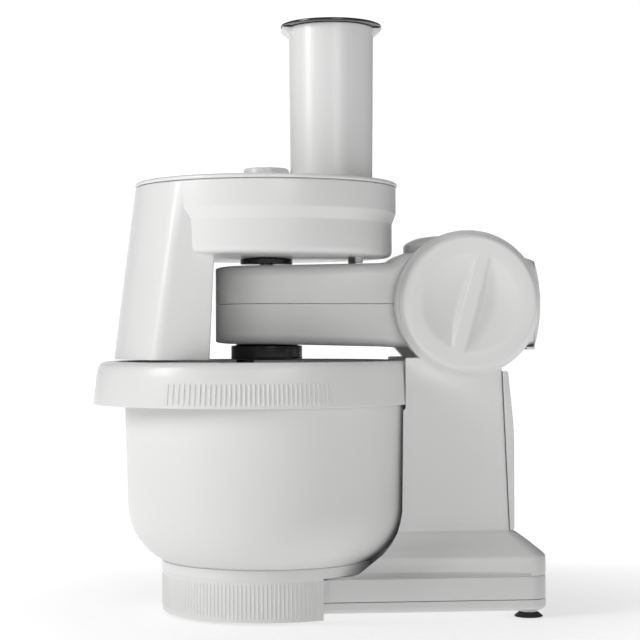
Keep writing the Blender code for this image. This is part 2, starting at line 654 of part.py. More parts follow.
def make_gearbox(white, steel, bronze, black):
    pivot = (PIVOT_X, 0, PIVOT_Z)
    main = (DRIVE_X, 0, 0)
    worm_axis = (WORM_X, 0, WORM_Z)
    plate = box("gearbox_plate", (DRIVE_X - 14, 30), (-31, 31), (212, 215))
    cut(plate, rod("shaft_hole", 11.5, main, 205, 220))
    for y in (-29, 14):
        post = box("post", (WORM_X - 8, WORM_X + 8), (y, y + 4), (214, 238))
        cut(post, rod("worm_seat", 3.4, worm_axis, y - 2, y + 6, "Y"))
        join(plate, post)
    settle(plate, steel, pivot)
    settle(rod("main_bearing", 11.2, main, 212, 217, bore=5.3), bronze, pivot)
    settle(rod("ring_gear", 31, main, 200.5, 209, bore=25, steps=32), white, pivot)

    worm = rod("worm_shaft", 3.0, worm_axis, -32, 28, "Y", steps=16)
    join(worm, rod("worm_thread", 6.4, worm_axis, -10, 10, "Y"))
    settle(worm, steel, worm_axis)
    settle(rod("worm_pulley", ARM_PULLEY_R, worm_axis, ARM_BELT_Y - 3, ARM_BELT_Y + 3, "Y", bore=3.3),
           white, worm_axis)

    settle(rod("main_shaft", 5, main, 196, 262), steel, (DRIVE_X, 0, 225))
    wheel = rod("worm_wheel", 21.5, main, 226, 234, bore=5.3, steps=24)
    for k in range(16):
        tooth = box("tooth", (20.5, 23), (-1.6, 1.6), (226.5, 233.5))
        tooth.data.transform(Matrix.Rotation(2 * math.pi * k / 16, 4, "Z"))
        tooth.data.transform(Matrix.Translation(Vector(main) * MM))
        join(wheel, tooth)
    settle(wheel, bronze, (DRIVE_X, 0, 225))
    collar = (
        (5.3, 254.6), (19.3, 254.6), (19.3, 258.6), (8, 258.6), (8, 271), (6.5, 272), (0, 272),
        (0, 262.3), (5.3, 262.3),
    )
    settle(lathe("top_coupling", collar, main, steps=24), black, (DRIVE_X, 0, 225))
    carrier = (
        (5.3, 184.4), (25.6, 184.4), (26.3, 185.2), (26.3, 194.6), (22.6, 195.2), (22.6, 199.5),
        (5.3, 199.5),
    )
    head = lathe("planet_carrier", carrier, main, steps=28)
    cut(head, rod("spindle_hole", 6.8, (TOOL_X, 0, 0), 180, 205))
    settle(head, black, (DRIVE_X, 0, 225))
    tool = rod("tool_socket", 6.5, (TOOL_X, 0, 0), 177.5, 208.5)
    join(tool, rod("planet_gear", 8.3, (TOOL_X, 0, 0), 201, 208))
    cut(tool, prism("hex_socket", arc((TOOL_X, 0), 4.4, 20, 320, 5), 176, 190))
    settle(tool, black, (TOOL_X, 0, 190))
    settle(rod("rear_coupling", 9, (DOME_X, 0, 0), 250, 268.5, bore=4), black, (DOME_X, 0, 262))


def chute_section(z, inset):
    """The chute's outline at a height: a front arc about the tool axis between two side walls."""
    share = (DRUM_TOP - z) / (DRUM_TOP - CHUTE_BOTTOM)
    radius = DRUM_R + 0.5 + (CHUTE_LOW_R - DRUM_R - 0.5) * share - inset
    half = 72.5 + 3.5 * share - inset
    back = DRIVE_X + CHUTE_BACK + 6 * (1 - share) - inset
    reach = math.degrees(math.asin(half / radius))
    front = arc((DRIVE_X, 0), radius, 180 - reach, 180 + reach, 12)
    return [(x, y, z) for x, y in front + [(back, -half), (back, half)]]


def make_shredder_housing(look):
    bottom_arc = arc((DRUM_LOW_R - 5, DRUM_BOTTOM + 5), 5, 270, 360, 3)
    inner_arc = arc((DRUM_LOW_R - 7.4, DRUM_BOTTOM + 7.4), 5, 360, 270, 2)
    outer = [(15, DRUM_BOTTOM)] + bottom_arc + [
        (DRUM_LOW_R, DRUM_STEP_LOW),
        (DRUM_R, DRUM_STEP_HIGH),
        (DRUM_R, DRUM_TOP),
    ]
    inner = [
        (DRUM_R - WALL, DRUM_TOP),
        (DRUM_R - WALL, DRUM_STEP_HIGH),
        (DRUM_LOW_R - WALL, DRUM_STEP_LOW),
    ] + inner_arc + [(17.4, DRUM_BOTTOM + WALL), (17.4, 274), (15, 274)]
    drum = lathe("shredder_housing", outer + inner, (DRIVE_X, 0, 0), steps=FINE)
    heights = (CHUTE_BOTTOM, 225, 265, DRUM_TOP - 0.2)
    chute = skin("chute", [chute_section(z, 0) for z in heights])
    inside = skin("chute_inside", [chute_section(z, WALL) for z in (CHUTE_BOTTOM - 3, 225, 265, 301)])
    cavity = lathe(
        "cavity",
        [(17.6, DRUM_BOTTOM + WALL + 0.01), (DRUM_LOW_R - WALL - 6, DRUM_BOTTOM + WALL + 0.01),
         (DRUM_LOW_R - WALL - 0.1, DRUM_BOTTOM + 9), (DRUM_LOW_R - WALL - 0.1, DRUM_STEP_LOW),
         (DRUM_R - WALL - 0.1, DRUM_STEP_HIGH), (DRUM_R - WALL - 0.1, DRUM_TOP + 2), (17.6, DRUM_TOP + 2)],
        (DRIVE_X, 0, 0), steps=FINE)
    cut(chute, cavity)
    join(drum, chute)
    cut(drum, inside)
    for y in (-24, 24):
        join(drum, rod("rest_peg", 3, (DRIVE_X + 66, y, 0), 254.9, DRUM_BOTTOM + 1))
    return settle(drum, look, (DRIVE_X, 0, DRUM_BOTTOM))


def make_shredder_disc(steel, white):
    main = (DRIVE_X, 0, 0)
    origin = (DRIVE_X, 0, DISC_Z)
    profile = (
        (8.4, 263), (13.5, 263), (13.5, 291), (24, 293), (24, 295.7), (11, 295.7), (11, 304),
        (6, 305), (6, 319), (4.5, 320.5), (0, 320.5), (0, 276), (8.4, 276),
    )
    settle(lathe("disc_holder", profile, main, steps=20), white, origin)
    disc = rod("shredding_disc", 88, main, DISC_Z, DISC_Z + 1.6, bore=11.3, steps=36)
    for k in range(6):
        angle = 2 * math.pi * k / 6
        for reach in (42, 70):
            slot = box("slot", (reach - 4, reach + 4), (-1.4, 1.4), (DISC_Z - 2, DISC_Z + 4))
            slot.data.transform(Matrix.Rotation(angle + reach * 0.012, 4, "Z"))
            slot.data.transform(Matrix.Translation(Vector(main) * MM))
            cut(disc, slot)
    settle(disc, steel, origin)


def make_shredder_lid(look):
    lid = rod("shredder_lid", LID_R, (DRIVE_X, 0, 0), DRUM_TOP + GAP, LID_TOP, steps=48)
    join(lid, rod("locating_rib", DRUM_R - WALL - 0.6, (DRIVE_X, 0, 0), 307, DRUM_TOP + 1,
                  bore=DRUM_R - WALL - 2.6, steps=36))
    boss = ((0, LID_TOP - 1), (16.9, LID_TOP - 1), (16.6, BOSS_TOP - 1.5), (15.2, BOSS_TOP), (0, BOSS_TOP))
    join(lid, lathe("boss", boss, (DRIVE_X, 0, 0), steps=24))
    tube = ((0, TUBE_FOOT), (TUBE_FOOT_R, TUBE_FOOT), (TUBE_R, TUBE_TOP), (0, TUBE_TOP))
    join(lid, lathe("tube", tube, (TUBE_X, 0, 0), steps=28))
    for side in (-1, 1):
        wing = ((side * 29, 423), (side * 31, 423), (side * 36.6, TUBE_TOP - 0.4), (side * 29, TUBE_TOP - 0.4))
        join(lid, prism("wing", [(TUBE_X + x, z) for x, z in wing], -10, 10, "Y"))
    bore = ((0, TUBE_FOOT - 5), (TUBE_FOOT_R - 2, TUBE_FOOT - 5), (TUBE_R - 2, TUBE_TOP + 5), (0, TUBE_TOP + 5))
    cut(lid, lathe("bore", bore, (TUBE_X, 0, 0), steps=28))
    cut(lid, rod("pin_pocket", 6.4, (DRIVE_X, 0, 0), DRUM_TOP - 2, 322))
    return settle(lid, look, (DRIVE_X, 0, DRUM_TOP))


def make_pusher(white, black):
    low = TUBE_FOOT + 2.5
    body = (
        (0, low), (TUBE_FOOT_R - 2.9, low), (TUBE_R - 2.9, TUBE_TOP - 0.1), (TUBE_R - 4.7, TUBE_TOP - 0.1),
        (TUBE_FOOT_R - 4.7, low + 2), (0, low + 2),
    )
    settle(lathe("pusher", body, (TUBE_X, 0, 0)), white, (TUBE_X, 0, TUBE_TOP))
    cap = (
        (0, TUBE_TOP + GAP), (CAP_R - 0.5, TUBE_TOP + GAP), (CAP_R, TUBE_TOP + 0.9),
        (CAP_R - 0.3, CAP_TOP - 0.8), (CAP_R - 2, CAP_TOP), (0, CAP_TOP),
    )
    settle(lathe("pusher_cap", cap, (TUBE_X, 0, 0), steps=32), black, (TUBE_X, 0, TUBE_TOP))


def main():
    clear_scene()
    white = material("white_plastic", WHITE, 0.3)
    black = material("black_plastic", BLACK, 0.25)
    rubber = material("rubber", (0.03, 0.03, 0.03, 1), 0.7)
    steel = material("steel", STEEL, 0.35, 1.0)
    bronze = material("bronze", BRASS, 0.4, 1.0)
    copper = material("copper", COPPER, 0.45, 1.0)
    board = material("circuit_board", BOARD, 0.5)
    make_base_shell(white)
    make_bottom_pan(white)
    make_feet(rubber)
    make_pedestal_ring(white)
    make_bowl(white)
    make_arm_shells(white)
    make_end_cap(white)
    make_drive_cover(white)
    make_covers(white)
    make_pivot_parts(white, steel, bronze, rubber)
    make_motor(steel, copper, white, black)
    make_electrics(board, black, white)
    make_knob(white)
    make_lock(white, steel)
    make_gearbox(white, steel, bronze, black)
    make_shredder_housing(white)
    make_shredder_disc(steel, white)
    make_shredder_lid(white)
    make_pusher(white, black)


main()
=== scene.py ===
"""Looks of the stand mixer: detailed meshes, plastics and studio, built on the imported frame.

Shape values are millimetres and mesh helpers turn them into metres. Axes follow the frame:
+X from the bowl's grip to the rear of the base, -Y the side with the control knob, +Z up.
"""

import json
import math

import bmesh
import bpy
from mathutils import Matrix, Vector


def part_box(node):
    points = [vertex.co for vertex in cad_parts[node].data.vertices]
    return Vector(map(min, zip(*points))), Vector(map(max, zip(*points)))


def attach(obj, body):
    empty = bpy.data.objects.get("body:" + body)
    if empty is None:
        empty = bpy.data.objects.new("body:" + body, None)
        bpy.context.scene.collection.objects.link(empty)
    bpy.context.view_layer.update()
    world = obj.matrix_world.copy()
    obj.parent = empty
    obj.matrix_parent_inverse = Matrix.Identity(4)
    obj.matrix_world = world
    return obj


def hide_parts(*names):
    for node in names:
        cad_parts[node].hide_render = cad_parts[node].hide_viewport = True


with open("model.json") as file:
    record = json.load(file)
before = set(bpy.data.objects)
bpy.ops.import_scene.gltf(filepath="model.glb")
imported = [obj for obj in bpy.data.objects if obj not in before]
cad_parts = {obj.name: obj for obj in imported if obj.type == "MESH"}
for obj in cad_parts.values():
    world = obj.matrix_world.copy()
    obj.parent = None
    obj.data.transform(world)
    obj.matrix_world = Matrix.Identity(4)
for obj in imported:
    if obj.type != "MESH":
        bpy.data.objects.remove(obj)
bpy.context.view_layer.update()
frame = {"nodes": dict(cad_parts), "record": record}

MM = 0.001
GAP = 0.3
WALL = 2.4
ROUND = 160


def span(node):
    """(lowest corner, highest corner) of a CAD node in millimetres."""
    return [[value / MM for value in corner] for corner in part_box(node)]


def middle(node, axis):
    """The middle of a CAD node along an axis, in millimetres."""
    low, high = span(node)
    return (low[axis] + high[axis]) / 2


# Places from the frame: the tool axis, the pivot, the feed tube, the rear and the parting plane
DRIVE_X = middle("planet_carrier", 0)
DRIVE = (DRIVE_X, 0, 0)
PIVOT = (middle("switch_bezel", 0), 0, middle("switch_bezel", 2))
TUBE_X = middle("pusher", 0)
TUBE = (TUBE_X, 0, 0)
REAR_X = span("base_shell")[1][0]
SEAM_Z = (span("arm_upper_shell")[0][2] + span("arm_lower_shell")[1][2]) / 2

# Bowl
RIM_R = 105.0
RIM_Z = span("mixing_bowl")[1][2]
BOWL_FLOOR = span("mixing_bowl")[0][2]
BOWL_CURVE = 46.0
BOWL_CURVE_R = 56.3
BOWL_WALL = 2.2
SKIRT_LONG = 117.15
SKIRT_WIDE = 110.5
SKIRT_SHIFT = span("mixing_bowl")[0][0] + SKIRT_LONG - DRIVE_X
SKIRT_FOOT = RIM_Z - 31.3
SKIRT_LEAST = 107.5
SKIRT_BEND = RIM_Z - 8.0
FOOT_TAPER = 0.2
BEND_TAPER = 2.6
TAPER_EASE = 3.2

# Base
RING_R = 77.5
SEAT_R = 74.3
PLATE_HALF = 63.0
LEDGE = 30.4
COLUMN_HALF = 49.7
COLUMN_HOLLOW = 108.5
COLUMN_TOP = 186.0
COLUMN_REAR_FOOT = 136.7
COLUMN_LEAN = 0.045
COVER_FOOT = span("rear_cover")[0][2]
COVER_REAR = span("rear_cover")[1][0]
CHEEK_R = 52.5
CHEEK_OUT = 50.0
SADDLE_R = 66.0
SADDLE_HALF = 38.2
BUTTON_OPENING = ((-14, 14), (137, 153))
FEET = tuple(f"suction_foot_{number}" for number in range(1, 5))

# Arm
ARM_HALF = 37.5
ARM_REAR = 157.5

# Shredder
DRUM_R = 95.5
DRUM_LOW_R = 92.5
DRUM_BOTTOM = span("top_coupling")[0][2] + 4.6
DRUM_TOP = 310.4
CHUTE_BOTTOM = span("shredder_housing")[0][2]


# ---------------------------------------------------------------- materials

def new_material(name, color, roughness):
    """A new Principled material and its shader node."""
    made = bpy.data.materials.new(name)
    made.use_nodes = True
    shader = made.node_tree.nodes["Principled BSDF"]
    shader.inputs["Base Color"].default_value = (*color, 1)
    shader.inputs["Roughness"].default_value = roughness
    return made, shader


def noise(tree, scale, detail=3.0, stretch=(1, 1, 1)):
    """Noise in object space, so that it stays on the surface when a piece moves."""
    place = tree.nodes.new("ShaderNodeTexCoord")
    mapping = tree.nodes.new("ShaderNodeMapping")
    mapping.inputs["Scale"].default_value = stretch
    texture = tree.nodes.new("ShaderNodeTexNoise")
    texture.inputs["Scale"].default_value = scale
    texture.inputs["Detail"].default_value = detail
    tree.links.new(place.outputs["Object"], mapping.inputs["Vector"])
    tree.links.new(mapping.outputs["Vector"], texture.inputs["Vector"])
    return texture.outputs["Fac"]


def spread(tree, source, low, high, socket):
    """Feeds a socket with the source's 0.3..0.7 stretched between two values."""
    ramp = tree.nodes.new("ShaderNodeMapRange")
    ramp.inputs["From Min"].default_value = 0.3
    ramp.inputs["From Max"].default_value = 0.7
    ramp.inputs["To Min"].default_value = low
    ramp.inputs["To Max"].default_value = high
    tree.links.new(source, ramp.inputs["Value"])
    tree.links.new(ramp.outputs["Result"], socket)


def tint(tree, source, dark, light, socket):
    """Feeds a colour socket with a blend of two colours, driven by the source."""
    ramp = tree.nodes.new("ShaderNodeValToRGB")
    ramp.color_ramp.elements[0].position = 0.3
    ramp.color_ramp.elements[0].color = (*dark, 1)
    ramp.color_ramp.elements[1].position = 0.7
    ramp.color_ramp.elements[1].color = (*light, 1)
    tree.links.new(source, ramp.inputs["Fac"])
    tree.links.new(ramp.outputs["Color"], socket)


def emboss(tree, shader, source, strength, depth):
    """Raises the shader's surface by the source, in looks only."""
    bump = tree.nodes.new("ShaderNodeBump")
    bump.inputs["Strength"].default_value = strength
    bump.inputs["Distance"].default_value = depth
    tree.links.new(source, bump.inputs["Height"])
    tree.links.new(bump.outputs["Normal"], shader.inputs["Normal"])


def shaded(color, share):
    """The colour with each channel times a share."""
    return tuple(value * share for value in color)


def plastic(name, color, roughness, coat=0.0, grain=0.00004):
    """Moulded plastic: faint cloudiness, uneven gloss and a fine moulded skin."""
    made, shader = new_material(name, color, roughness)
    tree = made.node_tree
    tint(tree, noise(tree, 9, 2), shaded(color, 0.985), shaded(color, 1.005), shader.inputs["Base Color"])
    spread(tree, noise(tree, 40, 3), roughness * 0.94, roughness * 1.08, shader.inputs["Roughness"])
    emboss(tree, shader, noise(tree, 900, 2), 0.2, grain)
    shader.inputs["Coat Weight"].default_value = coat
    shader.inputs["Coat Roughness"].default_value = 0.12
    shader.inputs["Specular IOR Level"].default_value = 0.5
    return made


def rubber(name, color, roughness):
    """Dull rubber with a dusty, slightly pitted skin."""
    made, shader = new_material(name, color, roughness)
    tree = made.node_tree
    tint(tree, noise(tree, 120, 6), shaded(color, 0.75), shaded(color, 1.5), shader.inputs["Base Color"])
    spread(tree, noise(tree, 300, 4), roughness * 0.85, min(roughness * 1.15, 1), shader.inputs["Roughness"])
    emboss(tree, shader, noise(tree, 1600, 3), 0.5, 0.0001)
    return made


def metal(name, color, roughness, stretch):
    """Machined metal: fine lines along one direction, in colour, gloss and relief."""
    made, shader = new_material(name, color, roughness)
    shader.inputs["Metallic"].default_value = 1.0
    tree = made.node_tree
    lines = noise(tree, 400, 4, stretch)
    tint(tree, lines, shaded(color, 0.85), shaded(color, 1.08), shader.inputs["Base Color"])
    spread(tree, lines, roughness * 0.75, roughness * 1.35, shader.inputs["Roughness"])
    emboss(tree, shader, lines, 0.2, 0.00005)
    return made


def circuit_board(name):
    """Green solder mask with faint copper tracks showing through."""
    color = (0.02, 0.14, 0.05)
    made, shader = new_material(name, color, 0.4)
    tree = made.node_tree
    tracks = noise(tree, 220, 1, (1, 6, 1))
    tint(tree, tracks, color, (0.05, 0.26, 0.10), shader.inputs["Base Color"])
    emboss(tree, shader, tracks, 0.3, 0.0001)
    return made


WHITE = (0.73, 0.73, 0.725)
BLACK = (0.012, 0.012, 0.013)
LOOKS = {
    "white_plastic": plastic("white_plastic_look", WHITE, 0.36, coat=0.12),
    "inner_nylon": plastic("inner_nylon_look", (0.66, 0.65, 0.61), 0.45),
    "black_plastic": plastic("black_plastic_look", BLACK, 0.17, coat=0.5, grain=0.00002),
    "foot_rubber": rubber("foot_rubber_look", (0.022, 0.022, 0.024), 0.62),
    "belt_rubber": rubber("belt_rubber_look", (0.02, 0.02, 0.02), 0.7),
    "steel": metal("steel_look", (0.56, 0.56, 0.57), 0.28, (1, 30, 1)),
    "bronze": metal("bronze_look", (0.60, 0.44, 0.20), 0.38, (20, 1, 1)),
    "copper_windings": metal("copper_look", (0.60, 0.27, 0.12), 0.35, (1, 1, 40)),
    "circuit_board": circuit_board("circuit_board_look"),
}
SLOT_OF = {part["node"]: part["material_slot"] for part in frame["record"]["subparts"]}
BODY_OF = {
    node: body
    for body, nodes in frame["record"]["behaviour"]["bodies"].items()
    for node in nodes
}


# ---------------------------------------------------------------- mesh helpers

def finish_mesh(name, bm):
    """A new object from a bmesh in millimetres, its normals facing out."""
    bmesh.ops.recalc_face_normals(bm, faces=bm.faces)
    bmesh.ops.scale(bm, vec=Vector((MM, MM, MM)), verts=bm.verts)
    mesh = bpy.data.meshes.new(name)
    bm.to_mesh(mesh)
    bm.free()
    obj = bpy.data.objects.new(name, mesh)
    bpy.context.scene.collection.objects.link(obj)
    return obj


def bridge(bm, loops):
    """Faces between neighbouring loops of equal point counts, and one over each end."""
    count = len(loops[0])
    for low, high in zip(loops, loops[1:]):
        for i in range(count):
            j = (i + 1) % count
            bm.faces.new((low[i], low[j], high[j], high[i]))
    bm.faces.new(loops[0])
    bm.faces.new(loops[-1])


def skin(name, rings):
    """A closed solid through rings of equal point counts."""
    bm = bmesh.new()
    bridge(bm, [[bm.verts.new(point) for point in ring] for ring in rings])
    return finish_mesh(name, bm)


def stack(name, sections):
    """A closed solid through level outlines, each given as (height, outline)."""
    return skin(name, [[(x, y, z) for x, y in outline] for z, outline in sections])


def wrap(name, rings, steps):
    """A closed solid through rings about an axis, each of one point or of as many as there are steps."""
    bm = bmesh.new()
    loops = [[bm.verts.new(point) for point in ring] for ring in rings]
    for here, there in zip(loops, loops[1:] + loops[:1]):
        if len(here) == 1 and len(there) == 1:
            continue
        for k in range(steps):
            n = (k + 1) % steps
            corners = (here[k % len(here)], here[n % len(here)], there[n % len(there)], there[k % len(there)])
            bm.faces.new(list(dict.fromkeys(corners)))
    return finish_mesh(name, bm)


def lathe(name, profile, center=(0, 0, 0), axis="Z", steps=ROUND):
    """A closed profile of (radius, height) turned about the axis through the centre."""
    turn = {
        "Z": Matrix.Identity(3),
        "Y": Matrix(((1, 0, 0), (0, 0, 1), (0, -1, 0))),
        "X": Matrix(((0, 0, 1), (0, 1, 0), (-1, 0, 0))),
    }[axis]
    core = Vector(center)
    rings = []
    for radius, height in profile:
        ring = []
        for k in range(steps if radius > 0 else 1):
            angle = 2 * math.pi * k / steps
            local = Vector((radius * math.cos(angle), radius * math.sin(angle), height))
            ring.append(core + turn @ local)
        rings.append(ring)
    return wrap(name, rings, steps)


def prism(name, outline, low, high, axis="Z"):
    """An outline extruded along an axis: (x, y) for Z, (x, z) for Y, (y, z) for X."""
    place = {
        "Z": lambda a, b, h: (a, b, h),
        "Y": lambda a, b, h: (a, h, b),
        "X": lambda a, b, h: (h, a, b),
    }[axis]
    return skin(name, [[place(a, b, h) for a, b in outline] for h in (low, high)])


def box(name, x, y, z):
    """A box between a pair of values along each axis."""
    return prism(name, ((x[0], y[0]), (x[1], y[0]), (x[1], y[1]), (x[0], y[1])), *z)


def rod(name, radius, center, low, high, axis="Z", steps=ROUND):
    """A cylinder between two places along an axis that runs through the centre."""
    place = list(center)
    place["XYZ".index(axis)] = 0
    return lathe(name, ((0, low), (radius, low), (radius, high), (0, high)), place, axis, steps)


def arc(center, radius, start, end, steps):
    """Points on an arc, its angles in degrees, both ends included."""
    angles = [math.radians(start + (end - start) * k / steps) for k in range(steps + 1)]
    return [(center[0] + radius * math.cos(a), center[1] + radius * math.sin(a)) for a in angles]


def soften(points, steps=5):
    """A closed outline of (x, y, reach): a corner with a reach becomes a curve that starts that far off."""
    outline = []
    for before, here, after in zip(points[-1:] + points[:-1], points, points[1:] + points[:1]):
        corner = Vector(here[:2])
        reach = here[2] if len(here) > 2 else 0
        if not reach:
            outline.append(tuple(corner))
            continue
        start = corner + (Vector(before[:2]) - corner).normalized() * reach
        end = corner + (Vector(after[:2]) - corner).normalized() * reach
        for k in range(steps + 1):
            t = k / steps
            point = start * (1 - t) ** 2 + corner * 2 * t * (1 - t) + end * t**2
            outline.append(tuple(point))
    return outline


def combine(body, tool, operation):
    """Joins or cuts the body with the tool, and removes the tool."""
    step = body.modifiers.new(operation.lower(), "BOOLEAN")
    step.operation = operation
    step.object = tool
    step.solver = "MANIFOLD"
    graph = bpy.context.evaluated_depsgraph_get()
    body.data = bpy.data.meshes.new_from_object(body.evaluated_get(graph))
    body.modifiers.clear()
    bpy.data.objects.remove(tool, do_unlink=True)


def join(body, tool):
    combine(body, tool, "UNION")


def cut(body, tool):
    combine(body, tool, "DIFFERENCE")


def dress(piece, node, sharp=32, stands_for=True):
    """Gives a piece its node's body, slot and look, and smooth shading up to a sharp angle in degrees."""
    slot = SLOT_OF[node]
    piece.data.materials.clear()
    piece.data.materials.append(LOOKS[slot])
    piece.data.shade_smooth()
    piece.data.set_sharp_from_angle(angle=math.radians(sharp))
    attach(piece, BODY_OF[node])
    if stands_for:
        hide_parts(node)
    return piece


def directions(angle):
    """The outward and the sideways direction at an angle about an upright axis."""
    outward = Vector((math.cos(angle), math.sin(angle), 0))
    return outward, Vector((-outward.y, outward.x, 0))


def swept_ribs(name, paths, width, height):
    """Small rounded ridges in one mesh; each path is a list of (point, outward, sideways) vectors."""
    bm = bmesh.new()
    across = 8
    run_in = 0.12
    least_width = 0.2
    for path in paths:
        last = len(path) - 1
        loops = []
        for k, (point, outward, sideways) in enumerate(path):
            swell = math.sin(math.pi * min(k / last, 1 - k / last, run_in) / (2 * run_in))
            loop = []
            for m in range(across):
                turn = 2 * math.pi * m / across
                rise = outward * height * swell * math.sin(turn)
                shift = sideways * width / 2 * max(swell, least_width) * math.cos(turn)
                loop.append(bm.verts.new(point + rise + shift))
            loops.append(loop)
        bridge(bm, loops)
    return finish_mesh(name, bm)


# ---------------------------------------------------------------- bowl and pedestal

def skirt_radius(angle, taper, least):
    """Distance from the bowl's axis to the shifted oval skirt, eased so that it stays above the least."""
    c, s = math.cos(angle), math.sin(angle)
    a, b = SKIRT_LONG - taper, SKIRT_WIDE - taper
    p = (c / a) ** 2 + (s / b) ** 2
    q = -2 * SKIRT_SHIFT * c / a**2
    r = (SKIRT_SHIFT / a) ** 2 - 1
    reach = (-q + math.sqrt(q * q - 4 * p * r)) / (2 * p)
    soft = 1.5
    return least + soft * math.log1p(math.exp((reach - least) / soft))


def make_bowl():
    """The bowl and its grip skirt as one turned wall whose skirt follows an oval.

    A size in the wall's outline above half the rim's radius is a radius, and 0 is the axis.
    Anything between them is how far the skirt lies inside its oval.
    """
    curve_z = BOWL_FLOOR + BOWL_CURVE
    curve_steps = 22
    lip_z = RIM_Z - 2.2
    outer_from, inner_step = 1.5, 1.4
    outer = arc((BOWL_CURVE_R, curve_z), BOWL_CURVE, 270, 360, curve_steps)
    inner = arc((BOWL_CURVE_R, curve_z), BOWL_CURVE - BOWL_WALL, 360, 270, curve_steps)
    lip = soften([
        (RIM_R, lip_z, 0),
        (7.4, lip_z, 0.5),
        (4.8, SKIRT_BEND - 0.5, 1.5),
        (1.9, SKIRT_FOOT, 0.3),
        (FOOT_TAPER, SKIRT_FOOT, 0.8),
        (BEND_TAPER, SKIRT_BEND, 3.0),
        (4.2, RIM_Z - 2.6, 2.2),
        (8.0, RIM_Z, 2.6),
        (RIM_R - BOWL_WALL, RIM_Z, 1.0),
    ])
    rings = []
    outside = False
    for size, z in [(0, BOWL_FLOOR)] + outer + lip + inner + [(0, BOWL_FLOOR + BOWL_WALL)]:
        on_skirt = 0 < size < RIM_R / 2
        outside = outside or (on_skirt and size < outer_from)
        least = SKIRT_LEAST if outside else SKIRT_LEAST - inner_step
        ring = []
        for k in range(ROUND if size else 1):
            angle = 2 * math.pi * k / ROUND
            radius = skirt_radius(angle, size, least - size / TAPER_EASE) if on_skirt else size
            ring.append((DRIVE_X + radius * math.cos(angle), radius * math.sin(angle), z))
        rings.append(ring)
    dress(wrap("bowl_with_skirt", rings, ROUND), "mixing_bowl", 50)


def make_skirt_ribs():
    """Short upright grip ridges on both long sides of the skirt."""
    low, high, pitch = SKIRT_FOOT + 1.4, SKIRT_FOOT + 17.5, 3.2
    first_x, last_x = -69, 42
    count = int((last_x - first_x) / pitch)
    steps = 12
    sunk = 0.1
    width, height = 1.9, 0.75
    paths = []
    for side in (-1, 1):
        for k in range(count + 1):
            angle = side * math.acos((first_x + pitch * k) / SKIRT_WIDE)
            around, sideways = directions(angle)
            path = []
            for m in range(steps + 1):
                z = low + (high - low) * m / steps
                share = (z - SKIRT_FOOT) / (SKIRT_BEND - SKIRT_FOOT)
                taper = FOOT_TAPER + (BEND_TAPER - FOOT_TAPER) * share
                radius = skirt_radius(angle, taper, SKIRT_LEAST - taper / TAPER_EASE)
                point = Vector((DRIVE_X, 0, z)) + around * (radius - sunk)
                path.append((point, around, sideways))
            paths.append(path)
    ribs = swept_ribs("skirt_grip_ribs", paths, width, height)
    dress(ribs, "mixing_bowl", 60, stands_for=False)


def make_pedestal():
    """The open foot ring: a ribbed wall under a smooth band that runs on over the base plate."""
    low, high = span("pedestal_ring")
    bottom, top = low[2], high[2] - 0.1
    band = top - 7.6
    inside, ribbed_r = RING_R - 2.5, RING_R - 0.5
    profile = soften([
        (RING_R, top - 0.6, 0.5), (RING_R - 0.7, top, 0.4), (inside, top - 1.7, 0), (inside, bottom, 0.3),
        (ribbed_r, bottom, 0.5), (ribbed_r, band - 0.4, 0.2), (RING_R, band, 0.2),
    ], 3)
    ring = lathe("pedestal_wall", profile, DRIVE, steps=240)
    opening, past = 35.5, 90
    opening_x = (DRIVE_X + opening, DRIVE_X + opening + past)
    cut(ring, box("opening", opening_x, (-past, past), (-5, band)))
    slit_half, slit_angle = 0.6, 31.4
    for angle in (-slit_angle, slit_angle):
        slit = box("slit", (60, past), (-slit_half, slit_half), (band - 1, top + 3))
        slit.data.transform(Matrix.Rotation(math.radians(angle), 4, "Z"))
        slit.data.transform(Matrix.Translation(Vector(DRIVE) * MM))
        cut(ring, slit)
    dress(ring, "pedestal_ring")
    first = math.degrees(math.acos(opening / RING_R)) + 2.2
    count, steps = 104, 8
    sunk = 0.25
    width, height = 1.7, 0.7
    paths = []
    for k in range(count + 1):
        around, sideways = directions(math.radians(first + (360 - 2 * first) * k / count))
        path = []
        for m in range(steps + 1):
            z = bottom + 0.6 + (band - bottom - 1.0) * m / steps
            path.append((Vector((DRIVE_X, 0, z)) + around * (ribbed_r - sunk), around, sideways))
        paths.append(path)
    dress(swept_ribs("pedestal_ribs", paths, width, height), "pedestal_ring", 60, stands_for=False)


# ---------------------------------------------------------------- base and column

def plan(front_r, front_half, rear, rear_half, rear_r, hollow=False):
    """The base's outline at one height: its nose is an arc about the bowl's axis, bulged or hollow."""
    nose_steps, corner_steps = 64, 12
    reach = math.degrees(math.asin(front_half / front_r))
    end = -reach if hollow else 360 - reach
    nose = arc((DRIVE_X, 0), front_r, reach, end, nose_steps)
    tail = arc((rear - rear_r, rear_r - rear_half), rear_r, 270, 360, corner_steps)
    tail += arc((rear - rear_r, rear_half - rear_r), rear_r, 0, 90, corner_steps)
    return nose + tail


def seat_plan(inset, trim=0.0):
    """The outline of the base's lower walls, round under the bowl.

    The inset shrinks it all round. The trim shrinks it further, a quarter as much at the rear.
    """
    half = PLATE_HALF - inset - trim
    return plan(SEAT_R - inset - trim, half, REAR_X - inset - trim / 4, half, 13 - inset)


def column_rear(z):
    """Where the column's rear wall is at a height, leaning in towards the top."""
    return COLUMN_REAR_FOOT - COLUMN_LEAN * (z - COVER_FOOT)


